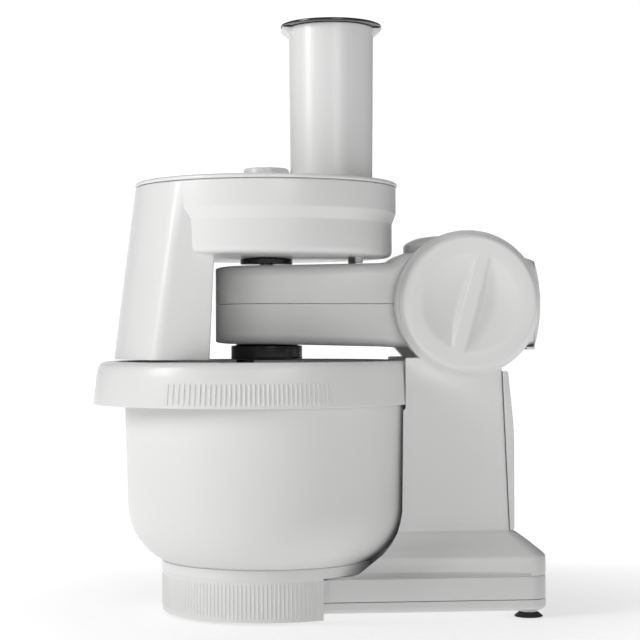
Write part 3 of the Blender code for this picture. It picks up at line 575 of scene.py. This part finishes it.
def between(stations, count):
    """Rows of numbers with smooth in-between rows added (Catmull-Rom)."""
    rows = []
    for i in range(len(stations) - 1):
        a = stations[max(i - 1, 0)]
        b, c = stations[i], stations[i + 1]
        d = stations[min(i + 2, len(stations) - 1)]
        for k in range(count):
            t = k / count
            row = []
            for p, q, s, w in zip(a, b, c, d):
                square = (2 * p - 5 * q + 4 * s - w) * t**2
                cube = (3 * q - p - 3 * s + w) * t**3
                row.append(0.5 * (2 * q + (s - p) * t + square + cube))
            rows.append(tuple(row))
    return rows + [stations[-1]]


def base_sections(inset):
    """The base and column as (height, outline), shrunk by the inset."""
    bottom = span("base_shell")[0][2]
    step = SKIRT_FOOT - 2.7
    rear_top = column_rear(COLUMN_TOP)
    # Height, hollow's radius, front half width, rear, rear half width, rear corner
    upper = [(LEDGE + 0.9, 82, 60.3, REAR_X, 62.8, 13)] + between([
        (33.0, 84.5, 57.5, REAR_X, 62.6, 12),
        (38, 88, 54.5, REAR_X, 62.4, 12),
        (43.0, 92.6, 53.2, REAR_X, 61.7, 12),
        (45.5, 95, 52.7, REAR_X - 1.1, 60.4, 12),
        (47.5, 96.5, 52.3, REAR_X - 3.4, 59.2, 12),
        (54, 100.3, 51, 151, 55, 11),
        (COVER_FOOT - 1, 103.3, 50.3, COVER_REAR - 0.6, 50.9, 8),
    ], 4) + [
        (COVER_FOOT - 0.4, 103.4, 50.3, COLUMN_REAR_FOOT, 50.3, 3),
        (68, 105.0, 49.95, column_rear(68), 49.95, 3),
        (76, 106.2, COLUMN_HALF, column_rear(76), COLUMN_HALF, 3),
        (step - 1.5, 107, COLUMN_HALF, column_rear(step - 1.5), COLUMN_HALF, 3),
        (step, COLUMN_HOLLOW, COLUMN_HALF, column_rear(step), COLUMN_HALF, 3),
        (COLUMN_TOP - 1, COLUMN_HOLLOW, COLUMN_HALF, rear_top, COLUMN_HALF, 3),
        (COLUMN_TOP - 0.3, COLUMN_HOLLOW, COLUMN_HALF - 0.3, rear_top - 0.3, COLUMN_HALF - 0.3, 3),
        (COLUMN_TOP, COLUMN_HOLLOW + 1, COLUMN_HALF - 1, rear_top - 1, COLUMN_HALF - 1, 3),
    ]
    lower = ((bottom, 0.3), (bottom + 0.4, 0), (LEDGE - 1.8, 0), (LEDGE - 0.8, 0.3), (LEDGE, 1.2))
    sections = [(z, seat_plan(inset, trim)) for z, trim in lower]
    ledge_half = PLATE_HALF - inset - 0.2
    ledge = plan(60.5 - inset, 60.4 - inset, REAR_X - inset, ledge_half, 13 - inset)
    sections.append((LEDGE + 0.45, ledge))
    for height, hollow_r, front_half, rear, rear_half, corner in upper:
        shape = (hollow_r + inset, front_half - inset, min(rear, REAR_X) - inset, rear_half - inset)
        sections.append((height, plan(*shape, max(corner - inset, 1.5), hollow=True)))
    return sections


def make_base():
    """The base and column in one shell, hollowed out, with the hub and the holes in its cheeks."""
    body = stack("base_and_column", base_sections(0))
    hub_edge = 1.2
    hub = soften([
        (0, -CHEEK_OUT), (CHEEK_R, -CHEEK_OUT, hub_edge), (CHEEK_R, CHEEK_OUT, hub_edge), (0, CHEEK_OUT),
    ])
    join(body, lathe("hub", hub, PIVOT, "Y"))
    seat_r, seat_low, seat_top = 57, 28, 33.8
    join(body, rod("seat", seat_r, DRIVE, seat_low, seat_top))
    inner = base_sections(WALL)
    bottom = inner[0][0]
    below = 4
    inner = [(z - (WALL if z > bottom + 1 else below), outline) for z, outline in inner]
    hollow_top = 155.0
    inner[-1] = (hollow_top, inner[-1][1])
    pocket_r, pocket_floor, pocket_mouth = 46, 41, CHEEK_OUT + 1
    hole_in, hole_out = 36, 44
    openings = (
        stack("hollow", inner),
        rod("saddle", SADDLE_R, PIVOT, -SADDLE_HALF, SADDLE_HALF, "Y"),
        rod("near_pocket", pocket_r, PIVOT, -pocket_mouth, -pocket_floor, "Y"),
        rod("far_pocket", pocket_r, PIVOT, pocket_floor, pocket_mouth, "Y"),
        box("belt_way", (80.6, 133.0), (pocket_floor, pocket_mouth), (86, 205)),
        rod("pin_hole", 11.3, PIVOT, -hole_out, -hole_in, "Y"),
        rod("sleeve_hole", 13.3, PIVOT, hole_in, hole_out, "Y"),
        box("pawl_hole", (PIVOT[0] - 5, PIVOT[0] + 5), (-9, 9), (150, 165)),
        box("button_hole", (125, 145), *BUTTON_OPENING),
        rod("gland_hole", 7.4, (0, 30, 28), 150, 170, "X"),
    )
    for opening in openings:
        cut(body, opening)
    dress(body, "base_shell", 28)


def foot_place(node):
    """The middle of a foot, on the table."""
    return middle(node, 0), middle(node, 1), 0


def make_pan():
    """The tray that closes the base from below, hollow, with a stem over each foot."""
    low, high = span("bottom_pan")
    bottom, top = 5.5, high[2]
    edge = (
        (bottom, 3.0), (bottom + 0.8, 1.4), (bottom + 2.2, 0.4), (bottom + 3.6, 0.0),
        (top - 0.3, 0.0), (top, 0.3),
    )
    tray = stack("base_underside", [(z, seat_plan(inset)) for z, inset in edge])
    inner = [(x * 0.985 + 0.4, y * 0.97) for x, y in seat_plan(WALL)]
    cut(tray, prism("tray_inside", inner, bottom + WALL, top + 3))
    stem_r, stem_top = 6.3, bottom + 1.5
    for node in FEET:
        join(tray, rod("stem", stem_r, foot_place(node), low[2], stem_top, steps=48))
    dress(tray, "bottom_pan")


def make_feet():
    """Suction feet: a thin flared lip round a shallow cup."""
    top = 3.4
    profile = soften([
        (0, 1.4), (7.2, 0.9, 1.0), (8.0, 0, 0.2), (9.9, 0, 0.2), (10.3, 0.5, 0.3), (9.0, 1.6, 1.0),
        (6.7, top, 0.4), (0, top),
    ])
    for number, node in enumerate(FEET, 1):
        dress(lathe(f"rubber_foot_{number}", profile, foot_place(node), steps=64), node)


def make_rear_cover():
    """The bulged strip up the column's rear, leaning in towards the top, with the button's window."""
    low, high = span("rear_cover")
    foot, top = low[2], high[2]
    half = 49.2
    bulge_r, reach = 800.0, 3.45
    bend_z, lean, bend_soft = 134.0, 0.105, 3.5
    trims = {foot: 0.9, foot + 0.6: 0.2, top: 0.8}
    rings = []
    for z in [foot, foot + 0.6, foot + 1.4] + [bend_z + 5 * k for k in range(-3, 4)] + [top - 0.8, top]:
        drop = lean * bend_soft * math.log1p(math.exp((z - bend_z) / bend_soft))
        inside = column_rear(z) + GAP
        outside = COVER_REAR - drop - trims.get(z, 0.0)
        bend = arc((outside - bulge_r, 0), bulge_r, -reach, reach, 40)
        edge = [(bend[0][0] - 0.9, bend[0][1] - 0.9), (bend[0][0] - 0.25, bend[0][1] - 0.65)]
        far_edge = [(x, -y) for x, y in reversed(edge)]
        outline = [(inside, -half)] + edge + bend[1:-1] + far_edge + [(inside, half)]
        rings.append([(x, y, z) for x, y in outline])
    cover = skin("column_rear_cover", rings)
    cut(cover, rod("saddle", SADDLE_R, PIVOT, -SADDLE_HALF, SADDLE_HALF, "Y"))
    cut(cover, box("button_window", (130, 150), *BUTTON_OPENING))
    dress(cover, "rear_cover", 24)


def make_belt_cover():
    """The far cheek's flat cover over the belt, with softened edges."""
    low, high = span("belt_cover")
    x, z, foot, foot_half = PIVOT[0], PIVOT[2], low[2], 26
    rings = []
    for y, trim in ((low[1], 0), (high[1] - 1.2, 0), (high[1] - 0.4, 0.3), (high[1], 1.2)):
        outline = arc((x, z), CHEEK_R - 0.5 - trim, -59, 239, 110)
        outline += [(x - foot_half + trim, foot + trim), (x + foot_half - trim, foot + trim)]
        rings.append([(u, y, v) for u, v in outline])
    plate = skin("belt_side_cover", rings)
    vent_half, vent_high, vent_pitch, round_end = 16, 1.8, 5, 0.9
    for k in range(-2, 3):
        vent_low = z + vent_pitch * k
        vent_top = vent_low + vent_high
        slot = soften([
            (x - vent_half, vent_low, round_end), (x + vent_half, vent_low, round_end),
            (x + vent_half, vent_top, round_end), (x - vent_half, vent_top, round_end),
        ])
        cut(plate, prism("vent", slot, high[1] - 1.4, high[1] + 1, "Y"))
    dress(plate, "belt_cover")


# ---------------------------------------------------------------- knob and button

def knob_depth(x, z):
    """How far the knob's face lies behind its front: a round dish with a straight bar across it."""
    dish_r, dish_deep, bar_half, flank = 35.5, 6.0, 4.7, 1.45
    tilt = math.radians(15)
    soft = 0.35
    exp_limit = 60
    r = math.hypot(x, z)
    across = abs(x * math.cos(tilt) - z * math.sin(tilt))
    dish = dish_deep * (1 - (r / dish_r) ** 2)
    side = (across - bar_half) * flank
    low = -soft * math.log(math.exp(-dish / soft) + math.exp(-side / soft))
    return soft * math.log1p(math.exp(min(low / soft, exp_limit)))


def make_knob():
    """The control knob: rounded rim, layered skirt, and the dished face as one fine surface."""
    low, high = span("control_knob")
    front, stem_end = low[1], high[1]
    back = front + 8.4
    radius = (high[0] - low[0]) / 2
    stem_r, face_r, waist_r = 6, 37.5, radius - 0.7
    edge = soften([
        (stem_r, stem_end), (stem_r, back), (radius, back, 0.5), (radius, front + 5.4, 0.3),
        (waist_r, front + 5.1, 0.2), (waist_r, front + 3.0, 2.2), (radius - 3.4, front, 1.6),
        (face_r, front), (0, front),
    ], 6)
    steps, face_rings = 288, 96
    turns = [2 * math.pi * k / steps for k in range(steps)]
    rings = [[(PIVOT[0], stem_end, PIVOT[2])]]
    for r, y in edge[:-1]:
        rings.append([(PIVOT[0] + r * math.cos(turn), y, PIVOT[2] + r * math.sin(turn)) for turn in turns])
    for m in range(1, face_rings + 1):
        r = face_r * (1 - m / face_rings)
        ring = []
        for turn in turns if r > 0 else turns[:1]:
            x, z = r * math.cos(turn), r * math.sin(turn)
            ring.append((PIVOT[0] + x, front + knob_depth(x, z), PIVOT[2] + z))
        rings.append(ring)
    dress(wrap("speed_knob", rings, steps), "control_knob", 40)


def make_bezel():
    """The stepped ring behind the knob."""
    low, high = span("switch_bezel")
    bore_r, radius = 38, (high[0] - low[0]) / 2
    profile = soften([
        (bore_r, low[1]), (radius - 0.9, low[1], 0.3), (radius - 0.5, low[1] + 0.6, 0.2),
        (radius, low[1] + 0.9, 0.2), (radius, high[1], 0.2), (bore_r, high[1]),
    ])
    dress(lathe("knob_bezel", profile, PIVOT, "Y"), "switch_bezel")


def make_button():
    """The release button with softened edges and a finger dip."""
    low, high = span("release_button")
    face, half, half_height = high[0], (high[1] - low[1]) / 2, 7.5
    z = middle("release_button", 2)
    corner = 2.4
    rings = []
    for x, trim in ((131, 0), (face - 1.5, 0), (face - 0.5, 0.4), (face, 1.4)):
        w, h = half - trim, half_height - trim
        outline = soften([(-w, z - h, corner), (w, z - h, corner), (w, z + h, corner), (-w, z + h, corner)])
        rings.append([(x, y, height) for y, height in outline])
    button = skin("arm_release_button", rings)
    stem_r, stem_end = 3, 132
    join(button, rod("button_stem", stem_r, (0, 0, z), low[0], stem_end, "X", steps=32))
    dip_r, dip_depth, dip_half = 40.0, 1.0, 8
    dip_center = (face + dip_r - dip_depth, 0, z)
    cut(button, rod("finger_dip", dip_r, dip_center, -dip_half, dip_half, "Y", steps=240))
    dress(button, "release_button")


# ---------------------------------------------------------------- arm

def arm_rows(inset):
    """(x, half width, top, bottom) along the arm: round about the tool axis in front, straight behind."""
    radius = ARM_HALF - inset
    nose_top, nose_bottom, nose_droop = 253, 196, 2.2
    first_angle, steps = 3, 24
    rows = []
    for k in range(steps + 1):
        angle = math.radians(first_angle + (90 - first_angle) * k / steps)
        dip = nose_droop * (1 - math.sin(angle)) ** 2
        x, half = DRIVE_X - radius * math.cos(angle), radius * math.sin(angle)
        rows.append((x, half, nose_top - dip, nose_bottom + dip))
    top, bottom = 262, 193.2
    rows += between([
        (45, radius, 254.6, 194), (54, radius, 256, 193.5),
        (59, radius, 259.4, 193.3), (64, radius, top, bottom),
    ], 4)
    rows += [(142, radius, top, bottom), (146, radius, 261.4, 193.5), (150, radius, 259, 194)]
    rows.append((ARM_REAR - inset, radius, 257, 195))
    return [(x, half, top - inset, bottom + inset) for x, half, top, bottom in rows]


def arm_half(name, inset, upper):
    """The arm's upper or lower body: an arch over the parting plane at each station.

    An outer body stands a little off the plane, with a small step at its lip. An inner one, which
    is cut out of it, goes past the plane instead.
    """
    side = 1 if upper else -1
    clearance, past = 0.15, 2
    edge = SEAM_Z + side * (clearance - (past if inset else 0))
    step = 0 if inset else 0.25
    widest = 9.0 if upper else 7.0
    turns = [math.radians(90 * k / 9) for k in range(10)]
    rings = []
    for x, half, top, bottom in arm_rows(inset):
        limit = top if upper else bottom
        corner = min(widest, half * 0.8)
        near = [
            (corner * (1 - math.cos(turn)) - half, limit - side * corner * (1 - math.sin(turn)))
            for turn in turns
        ]
        lip = [(-half + step, edge), (-half, edge + side * step)] if step else [(-half, edge)]
        arch = lip + near
        rings.append([(x, y, z) for y, z in arch + [(-y, z) for y, z in reversed(arch)]])
    return skin(name, rings)


def make_arm():
    """The arm's two bodies: hollow, open at the rear, with holes for the pivot and the drives."""
    halves = (
        ("arm_upper_shell", "arm_top_body", True),
        ("arm_lower_shell", "arm_bottom_body", False),
    )
    near_r, far_r = 14.6, 16.6
    hole_in, hole_out = 30, 45
    for node, name, upper in halves:
        shell = arm_half(name, 0, upper)
        cut(shell, arm_half("inside", WALL, upper))
        cut(shell, rod("near_hole", near_r, PIVOT, -hole_out, -hole_in, "Y"))
        cut(shell, rod("far_hole", far_r, PIVOT, hole_in, hole_out, "Y"))
        if upper:
            cut(shell, rod("coupling_hole", 10, DRIVE, 240, 270))
            cut(shell, rod("rear_drive_hole", 14, (middle("drive_cover", 0), 0, 0), 250, 270))
        else:
            cut(shell, rod("head_hole", 23.6, DRIVE, 190, 205))
        cut(shell, box("rear_opening", (ARM_REAR - 6, ARM_REAR + 6), (-32, 32), (199, 250)))
        dress(shell, node, 28)


def make_end_cap():
    """A gently bulged plate over the arm's rear end, with a spigot that enters it."""
    low, high = span("arm_end_cap")
    bulge_r, reach = 112.0, 15.8
    bulge_center = (high[0] - bulge_r, PIVOT[2] - 0.5)
    face, top, foot = ARM_REAR + GAP, PIVOT[2] + 31, PIVOT[2] - 31.6
    hook_x, hook_foot = ARM_REAR - 6.5, foot - 2
    rings = []
    for share, trim in ((0, 1.6), (0.02, 0.6), (0.06, 0.0), (0.5, 0.0), (0.94, 0.0), (0.98, 0.6), (1, 1.6)):
        y = low[1] + (high[1] - low[1]) * share
        outline = arc(bulge_center, bulge_r - trim * 0.1, -reach, reach, 40)
        outline += [
            (face, top - trim / 2), (face, foot),
            (hook_x + trim / 2, foot), (hook_x + 0.4 + trim / 2, foot - 1.2),
            (hook_x + 1.3, hook_foot), (ARM_REAR, hook_foot), (ARM_REAR + 0.4, foot - 1.2),
        ]
        rings.append([(x, y, z) for x, z in outline])
    cap = skin("arm_rear_cap", rings)
    half, spigot_low, spigot_high, wall = 31.5, 199.5, 249.5, 2
    spigot = box("spigot", (ARM_REAR - 5, ARM_REAR + 1), (-half, half), (spigot_low, spigot_high))
    room_y, room_z = (wall - half, half - wall), (spigot_low + wall, spigot_high - wall)
    cut(spigot, box("spigot_inside", (ARM_REAR - 7, ARM_REAR + 0.5), room_y, room_z))
    join(cap, spigot)
    dress(cap, "arm_end_cap")


def make_drive_cover():
    """The low dome over the arm's rear drive, hollow from below."""
    low, high = span("drive_cover")
    top, bottom = high[2], low[2]
    radius = (high[1] - low[1]) / 2
    profile = soften([
        (0, top), (18, top - 0.6, 6), (30, top - 2.6, 5), (radius, top - 7.0, 2.4), (radius, bottom, 0.3),
        (radius - WALL, bottom, 0.3), (radius - WALL, top - 8.5, 2), (20, top - 3.4, 4), (0, top - 2.8),
    ])
    cover = lathe("top_drive_cover", profile, (middle("drive_cover", 0), 0, 0))
    dress(cover, "drive_cover")


# ---------------------------------------------------------------- shredder

def chute_section(z, inset):
    """The chute's outline at a height: a front arc about the tool axis between two side walls.

    It widens from the drum's top down to the chute's foot.
    """
    top_r, foot_r = DRUM_R + 0.5, 112.0
    top_half, half_gain = 72.5, 3.5
    top_back, back_gain = DRIVE_X - 38, 6
    front_corner, back_corner = 6.0, 1.2
    share = (DRUM_TOP - z) / (DRUM_TOP - CHUTE_BOTTOM)
    radius = top_r + (foot_r - top_r) * share - inset
    half = top_half + half_gain * share - inset
    back = top_back - back_gain * share - inset
    reach = math.degrees(math.asin(half / radius)) - 5.5
    front = [(x, y, 0) for x, y in arc((DRIVE_X, 0), radius, 180 - reach, 180 + reach, 40)]
    corner_x = DRIVE_X - math.sqrt(radius**2 - half**2)
    outline = soften(front + [
        (corner_x, -half, front_corner), (back, -half, back_corner),
        (back, half, back_corner), (corner_x, half, front_corner),
    ], 6)
    return [(x, y, z) for x, y in outline]


def make_housing():
    """The drum, open at the top, with its neck over the coupling and the chute down into the bowl."""
    step_low, step_high = 283.4, 291.3
    bore_r, neck_r, neck_top = 15, 17.4, 274
    low_in, high_in = DRUM_LOW_R - WALL, DRUM_R - WALL
    floor = DRUM_BOTTOM + WALL
    profile = soften([
        (bore_r, DRUM_BOTTOM, 0.4), (DRUM_LOW_R, DRUM_BOTTOM, 5.0), (DRUM_LOW_R, step_low, 0.8),
        (DRUM_R, step_high, 0.8), (DRUM_R, DRUM_TOP - 0.9, 0.3), (DRUM_R - 0.9, DRUM_TOP, 0.3),
        (high_in, DRUM_TOP, 0.4), (high_in, step_high, 0.6), (low_in, step_low, 0.6), (low_in, floor, 4.0),
        (neck_r, floor, 0.8), (neck_r, neck_top, 0.5), (bore_r, neck_top, 0.5),
    ], 6)
    drum = lathe("shredder_drum", profile, DRIVE, steps=200)
    chute = skin("chute", [chute_section(z, 0) for z in (CHUTE_BOTTOM, 225, 265, DRUM_TOP - 0.9)])
    inside = skin("chute_inside", [chute_section(z, WALL) for z in (CHUTE_BOTTOM - 3, 225, 265, 301)])
    overlap, past = 0.1, 2
    cavity_neck, cavity_floor = neck_r + 0.2, floor + 0.01
    cavity = (
        (cavity_neck, cavity_floor), (low_in - overlap - 6, cavity_floor),
        (low_in - overlap, DRUM_BOTTOM + 9), (low_in - overlap, step_low), (high_in - overlap, step_high),
        (high_in - overlap, DRUM_TOP + past), (cavity_neck, DRUM_TOP + past),
    )
    cut(chute, lathe("cavity", cavity, DRIVE, steps=200))
    join(drum, chute)
    cut(drum, inside)
    peg_r, peg_foot, peg_root, peg_x, peg_y = 3, 254.9, DRUM_BOTTOM + 1, DRIVE_X + 66, 24
    peg = soften([(0, peg_foot), (peg_r, peg_foot, 0.8), (peg_r, peg_root), (0, peg_root)])
    for y in (-peg_y, peg_y):
        join(drum, lathe("rest_peg", peg, (peg_x, y, 0), steps=40))
    dress(drum, "shredder_housing", 28)


def make_lid():
    """The flat lid with its centre boss and the tall feed tube."""
    low, high = span("shredder_lid")
    radius = (high[1] - low[1]) / 2
    under, top = DRUM_TOP + GAP, DRUM_TOP + 3.4
    tube_top, tube_foot = high[2], low[2]
    disc = soften([
        (0, under), (radius - 0.5, under, 0.2), (radius, DRUM_TOP + 0.8, 0.4),
        (radius, top - 0.9, 0.9), (radius - 1.8, top, 0.8), (0, top),
    ])
    lid = lathe("shredder_top", disc, DRIVE, steps=200)
    rib_r, rib_in, rib_foot, rib_root = DRUM_R - WALL - 0.6, DRUM_R - WALL - 2.6, 307, DRUM_TOP + 1
    rib = soften([(rib_r, rib_foot, 0.4), (rib_r, rib_root), (rib_in, rib_root), (rib_in, rib_foot, 0.4)])
    join(lid, lathe("locating_rib", rib, DRIVE))
    boss_top = 325.2
    boss = soften([(0, top - 1), (17.0, top - 1), (16.6, boss_top, 1.8), (0, boss_top)])
    join(lid, lathe("boss", boss, DRIVE))
    foot_r, top_r, wall = 30.2, 31.3, 2
    tube = soften([(0, tube_foot), (foot_r, tube_foot, 0.4), (top_r, tube_top, 0.5), (0, tube_top)])
    join(lid, lathe("tube", tube, TUBE))
    wing_in, wing_foot, wing_out = 29, 31.2, 36.6
    wing_top, wing_tip, wing_low, wing_half = tube_top - 0.4, tube_top - 1.6, tube_top - 6, 10
    wing = (
        (wing_in, wing_low), (wing_foot, wing_low), (wing_out, wing_tip),
        (wing_out, wing_top), (wing_in, wing_top),
    )
    for side in (-1, 1):
        outline = [(TUBE_X + side * x, z) for x, z in wing]
        join(lid, prism("wing", outline, -wing_half, wing_half, "Y"))
    past = 5
    bore = [(0, tube_foot - past), (foot_r - wall, tube_foot - past)]
    bore += [(top_r - wall, tube_top + past), (0, tube_top + past)]
    cut(lid, lathe("bore", bore, TUBE))
    pocket_r, pocket_top = 6.4, 322
    cut(lid, rod("pin_pocket", pocket_r, DRIVE, DRUM_TOP - 2, pocket_top))
    dress(lid, "shredder_lid", 28)


def make_pusher():
    """The hollow pusher and its black pressing cap with a shallow dish."""
    low, high = span("pusher")
    foot, top = low[2], high[2]
    foot_r, top_r, wall, floor = 27.3, 28.4, 1.8, 2
    body = soften([
        (0, foot), (foot_r, foot, 1.5), (top_r, top, 0.3), (top_r - wall, top, 0.3),
        (foot_r - wall, foot + floor, 1.0), (0, foot + floor),
    ])
    dress(lathe("feed_pusher", body, TUBE), "pusher")
    low, high = span("pusher_cap")
    foot, top = low[2], high[2]
    radius = (high[1] - low[1]) / 2
    cap = soften([
        (0, foot), (radius - 0.5, foot, 0.2), (radius, foot + 0.5, 0.3), (radius, top - 0.7, 0.6),
        (radius - 1.6, top, 0.5), (radius - 4, top, 0.5), (radius - 6, top - 0.8, 1.2), (0, top - 0.9),
    ])
    dress(lathe("pusher_top", cap, TUBE), "pusher_cap")


# ---------------------------------------------------------------- drive pieces in view

def make_head_parts():
    """The black coupling on the arm, the planetary head under it and the tool socket."""
    shaft_r = 5.3
    flange_r, flange_low, flange_top = 19.3, 254.6, 258.6
    post_r, post_top, bore_top = 8, 272, 262.3
    coupling = soften([
        (shaft_r, flange_low), (flange_r, flange_low, 0.6), (flange_r, flange_top, 0.8),
        (post_r, flange_top, 1.0), (post_r, post_top, 1.6), (0, post_top), (0, bore_top), (shaft_r, bore_top),
    ])
    dress(lathe("shredder_coupling", coupling, DRIVE, steps=96), "top_coupling")
    head_r, head_low, neck_r, neck_top = 26.3, 184.4, 22.6, 199.5
    head = soften([
        (shaft_r, head_low), (head_r - 0.7, head_low, 0.9), (head_r, head_low + 1.2, 0.5),
        (head_r, 194.6, 0.4), (neck_r, 195.2, 0.3), (neck_r, neck_top, 0.4), (shaft_r, neck_top),
    ])
    carrier = lathe("planetary_head", head, DRIVE, steps=96)
    tool = (middle("tool_socket", 0), 0, 0)
    cut(carrier, rod("spindle_hole", 6.8, tool, 180, 205, steps=48))
    dress(carrier, "planet_carrier")
    low, high = span("tool_socket")
    spindle_r, collar_r, collar_low, collar_top = 6.5, 8.3, 201, 208
    spindle = soften([
        (0, low[2]), (spindle_r, low[2], 0.6), (spindle_r, collar_low), (collar_r, collar_low, 0.3),
        (collar_r, collar_top, 0.3), (spindle_r, high[2], 0.2), (0, high[2]),
    ])
    socket = lathe("beater_socket", spindle, tool, steps=48)
    hexagon = arc(tool[:2], 4.4, 20, 320, 5)
    cut(socket, prism("hex_socket", hexagon, 176, 190))
    dress(socket, "tool_socket")


def dress_hidden_nodes():
    """Every CAD node still shown gets the detailed material of its slot."""
    for node, obj in frame["nodes"].items():
        look = LOOKS[SLOT_OF[node]]
        for place in obj.material_slots:
            place.material = look


# ---------------------------------------------------------------- studio

def fade(tree, value, near, far, socket):
    """Feeds a socket with a smooth step between two (value, result) pairs."""
    step = tree.nodes.new("ShaderNodeMapRange")
    step.interpolation_type = "SMOOTHSTEP"
    step.inputs["From Min"].default_value, step.inputs["To Min"].default_value = near
    step.inputs["From Max"].default_value, step.inputs["To Max"].default_value = far
    tree.links.new(value, step.inputs["Value"])
    tree.links.new(step.outputs["Result"], socket)


def make_floor():
    """A wide pale floor that glows less under the mixer than away from it."""
    grey, half_size = 0.64, 6000
    grid = bmesh.new()
    bmesh.ops.create_grid(grid, x_segments=4, y_segments=4, size=half_size)
    floor = finish_mesh("floor", grid)
    paint, shader = new_material("floor_paint", (grey, grey, grey), 0.6)
    tree = paint.node_tree
    spread(tree, noise(tree, 3, 3), 0.55, 0.65, shader.inputs["Roughness"])
    shader.inputs["Specular IOR Level"].default_value = 0.2
    shader.inputs["Emission Color"].default_value = (1, 1, 1, 1)
    place = tree.nodes.new("ShaderNodeTexCoord")
    away = tree.nodes.new("ShaderNodeVectorMath")
    away.operation = "LENGTH"
    tree.links.new(place.outputs["Object"], away.inputs[0])
    fade(tree, away.outputs["Value"], (0.1, 0.5), (0.55, 0.9), shader.inputs["Emission Strength"])
    floor.data.materials.append(paint)


def make_world():
    """A dim surround that turns bright behind the mixer, as seen from the knob's side."""
    world = bpy.data.worlds.new("studio")
    bpy.context.scene.world = world
    world.use_nodes = True
    tree = world.node_tree
    backdrop = tree.nodes["Background"]
    backdrop.inputs["Color"].default_value = (1, 1, 1, 1)
    place = tree.nodes.new("ShaderNodeTexCoord")
    split = tree.nodes.new("ShaderNodeSeparateXYZ")
    tree.links.new(place.outputs["Generated"], split.inputs["Vector"])
    fade(tree, split.outputs["Y"], (0.88, 0.15), (0.965, 1.1), backdrop.inputs["Strength"])


def add_light(name, place, target, size, power, spread_angle=180):
    """A rectangular light aimed at a target, in metres, watts and degrees."""
    data = bpy.data.lights.new(name, "AREA")
    data.shape = "RECTANGLE"
    data.size, data.size_y = size
    data.energy = power
    data.spread = math.radians(spread_angle)
    lamp = bpy.data.objects.new(name, data)
    lamp.location = place
    aim = Vector(target) - Vector(place)
    lamp.rotation_euler = aim.to_track_quat("-Z", "Y").to_euler()
    bpy.context.scene.collection.objects.link(lamp)


def make_lights():
    """A key from the bowl's side, a weak one from above and a narrow fill on the knob's side."""
    center = (0, 0, 0.2)
    add_light("key", (-1.7, -0.62, 1.1), center, (0.6, 1.0), 20)
    add_light("top", (-0.1, 0.1, 1.7), center, (1.0, 1.0), 3.5)
    add_light("fill", (0.3, -1.6, 0.8), (0, 0, 0.40), (0.7, 0.7), 0.42, 44)


def make_camera():
    """A level camera on the knob's side, turned a little towards the bowl, in metres."""
    turn, roll = math.radians(5), math.radians(-0.18)
    distance, height = 1.295, 0.2025
    aim_x = 0.0045
    data = bpy.data.cameras.new("camera")
    data.lens = 98.4
    data.sensor_width = 36
    data.shift_y = 0.0234
    camera = bpy.data.objects.new("camera", data)
    camera.location = (aim_x - distance * math.sin(turn), -distance * math.cos(turn), height)
    upright = Matrix.Rotation(-turn, 3, "Z") @ Matrix.Rotation(math.pi / 2, 3, "X")
    camera.rotation_euler = (upright @ Matrix.Rotation(roll, 3, "Z")).to_euler()
    bpy.context.scene.collection.objects.link(camera)
    bpy.context.scene.camera = camera


make_camera()
make_bowl()
make_skirt_ribs()
make_pedestal()
make_base()
make_pan()
make_feet()
make_rear_cover()
make_belt_cover()
make_knob()
make_bezel()
make_button()
make_arm()
make_end_cap()
make_drive_cover()
make_housing()
make_lid()
make_pusher()
make_head_parts()
dress_hidden_nodes()
make_floor()
make_world()
make_lights()
bpy.context.scene.view_settings.view_transform = "Standard"
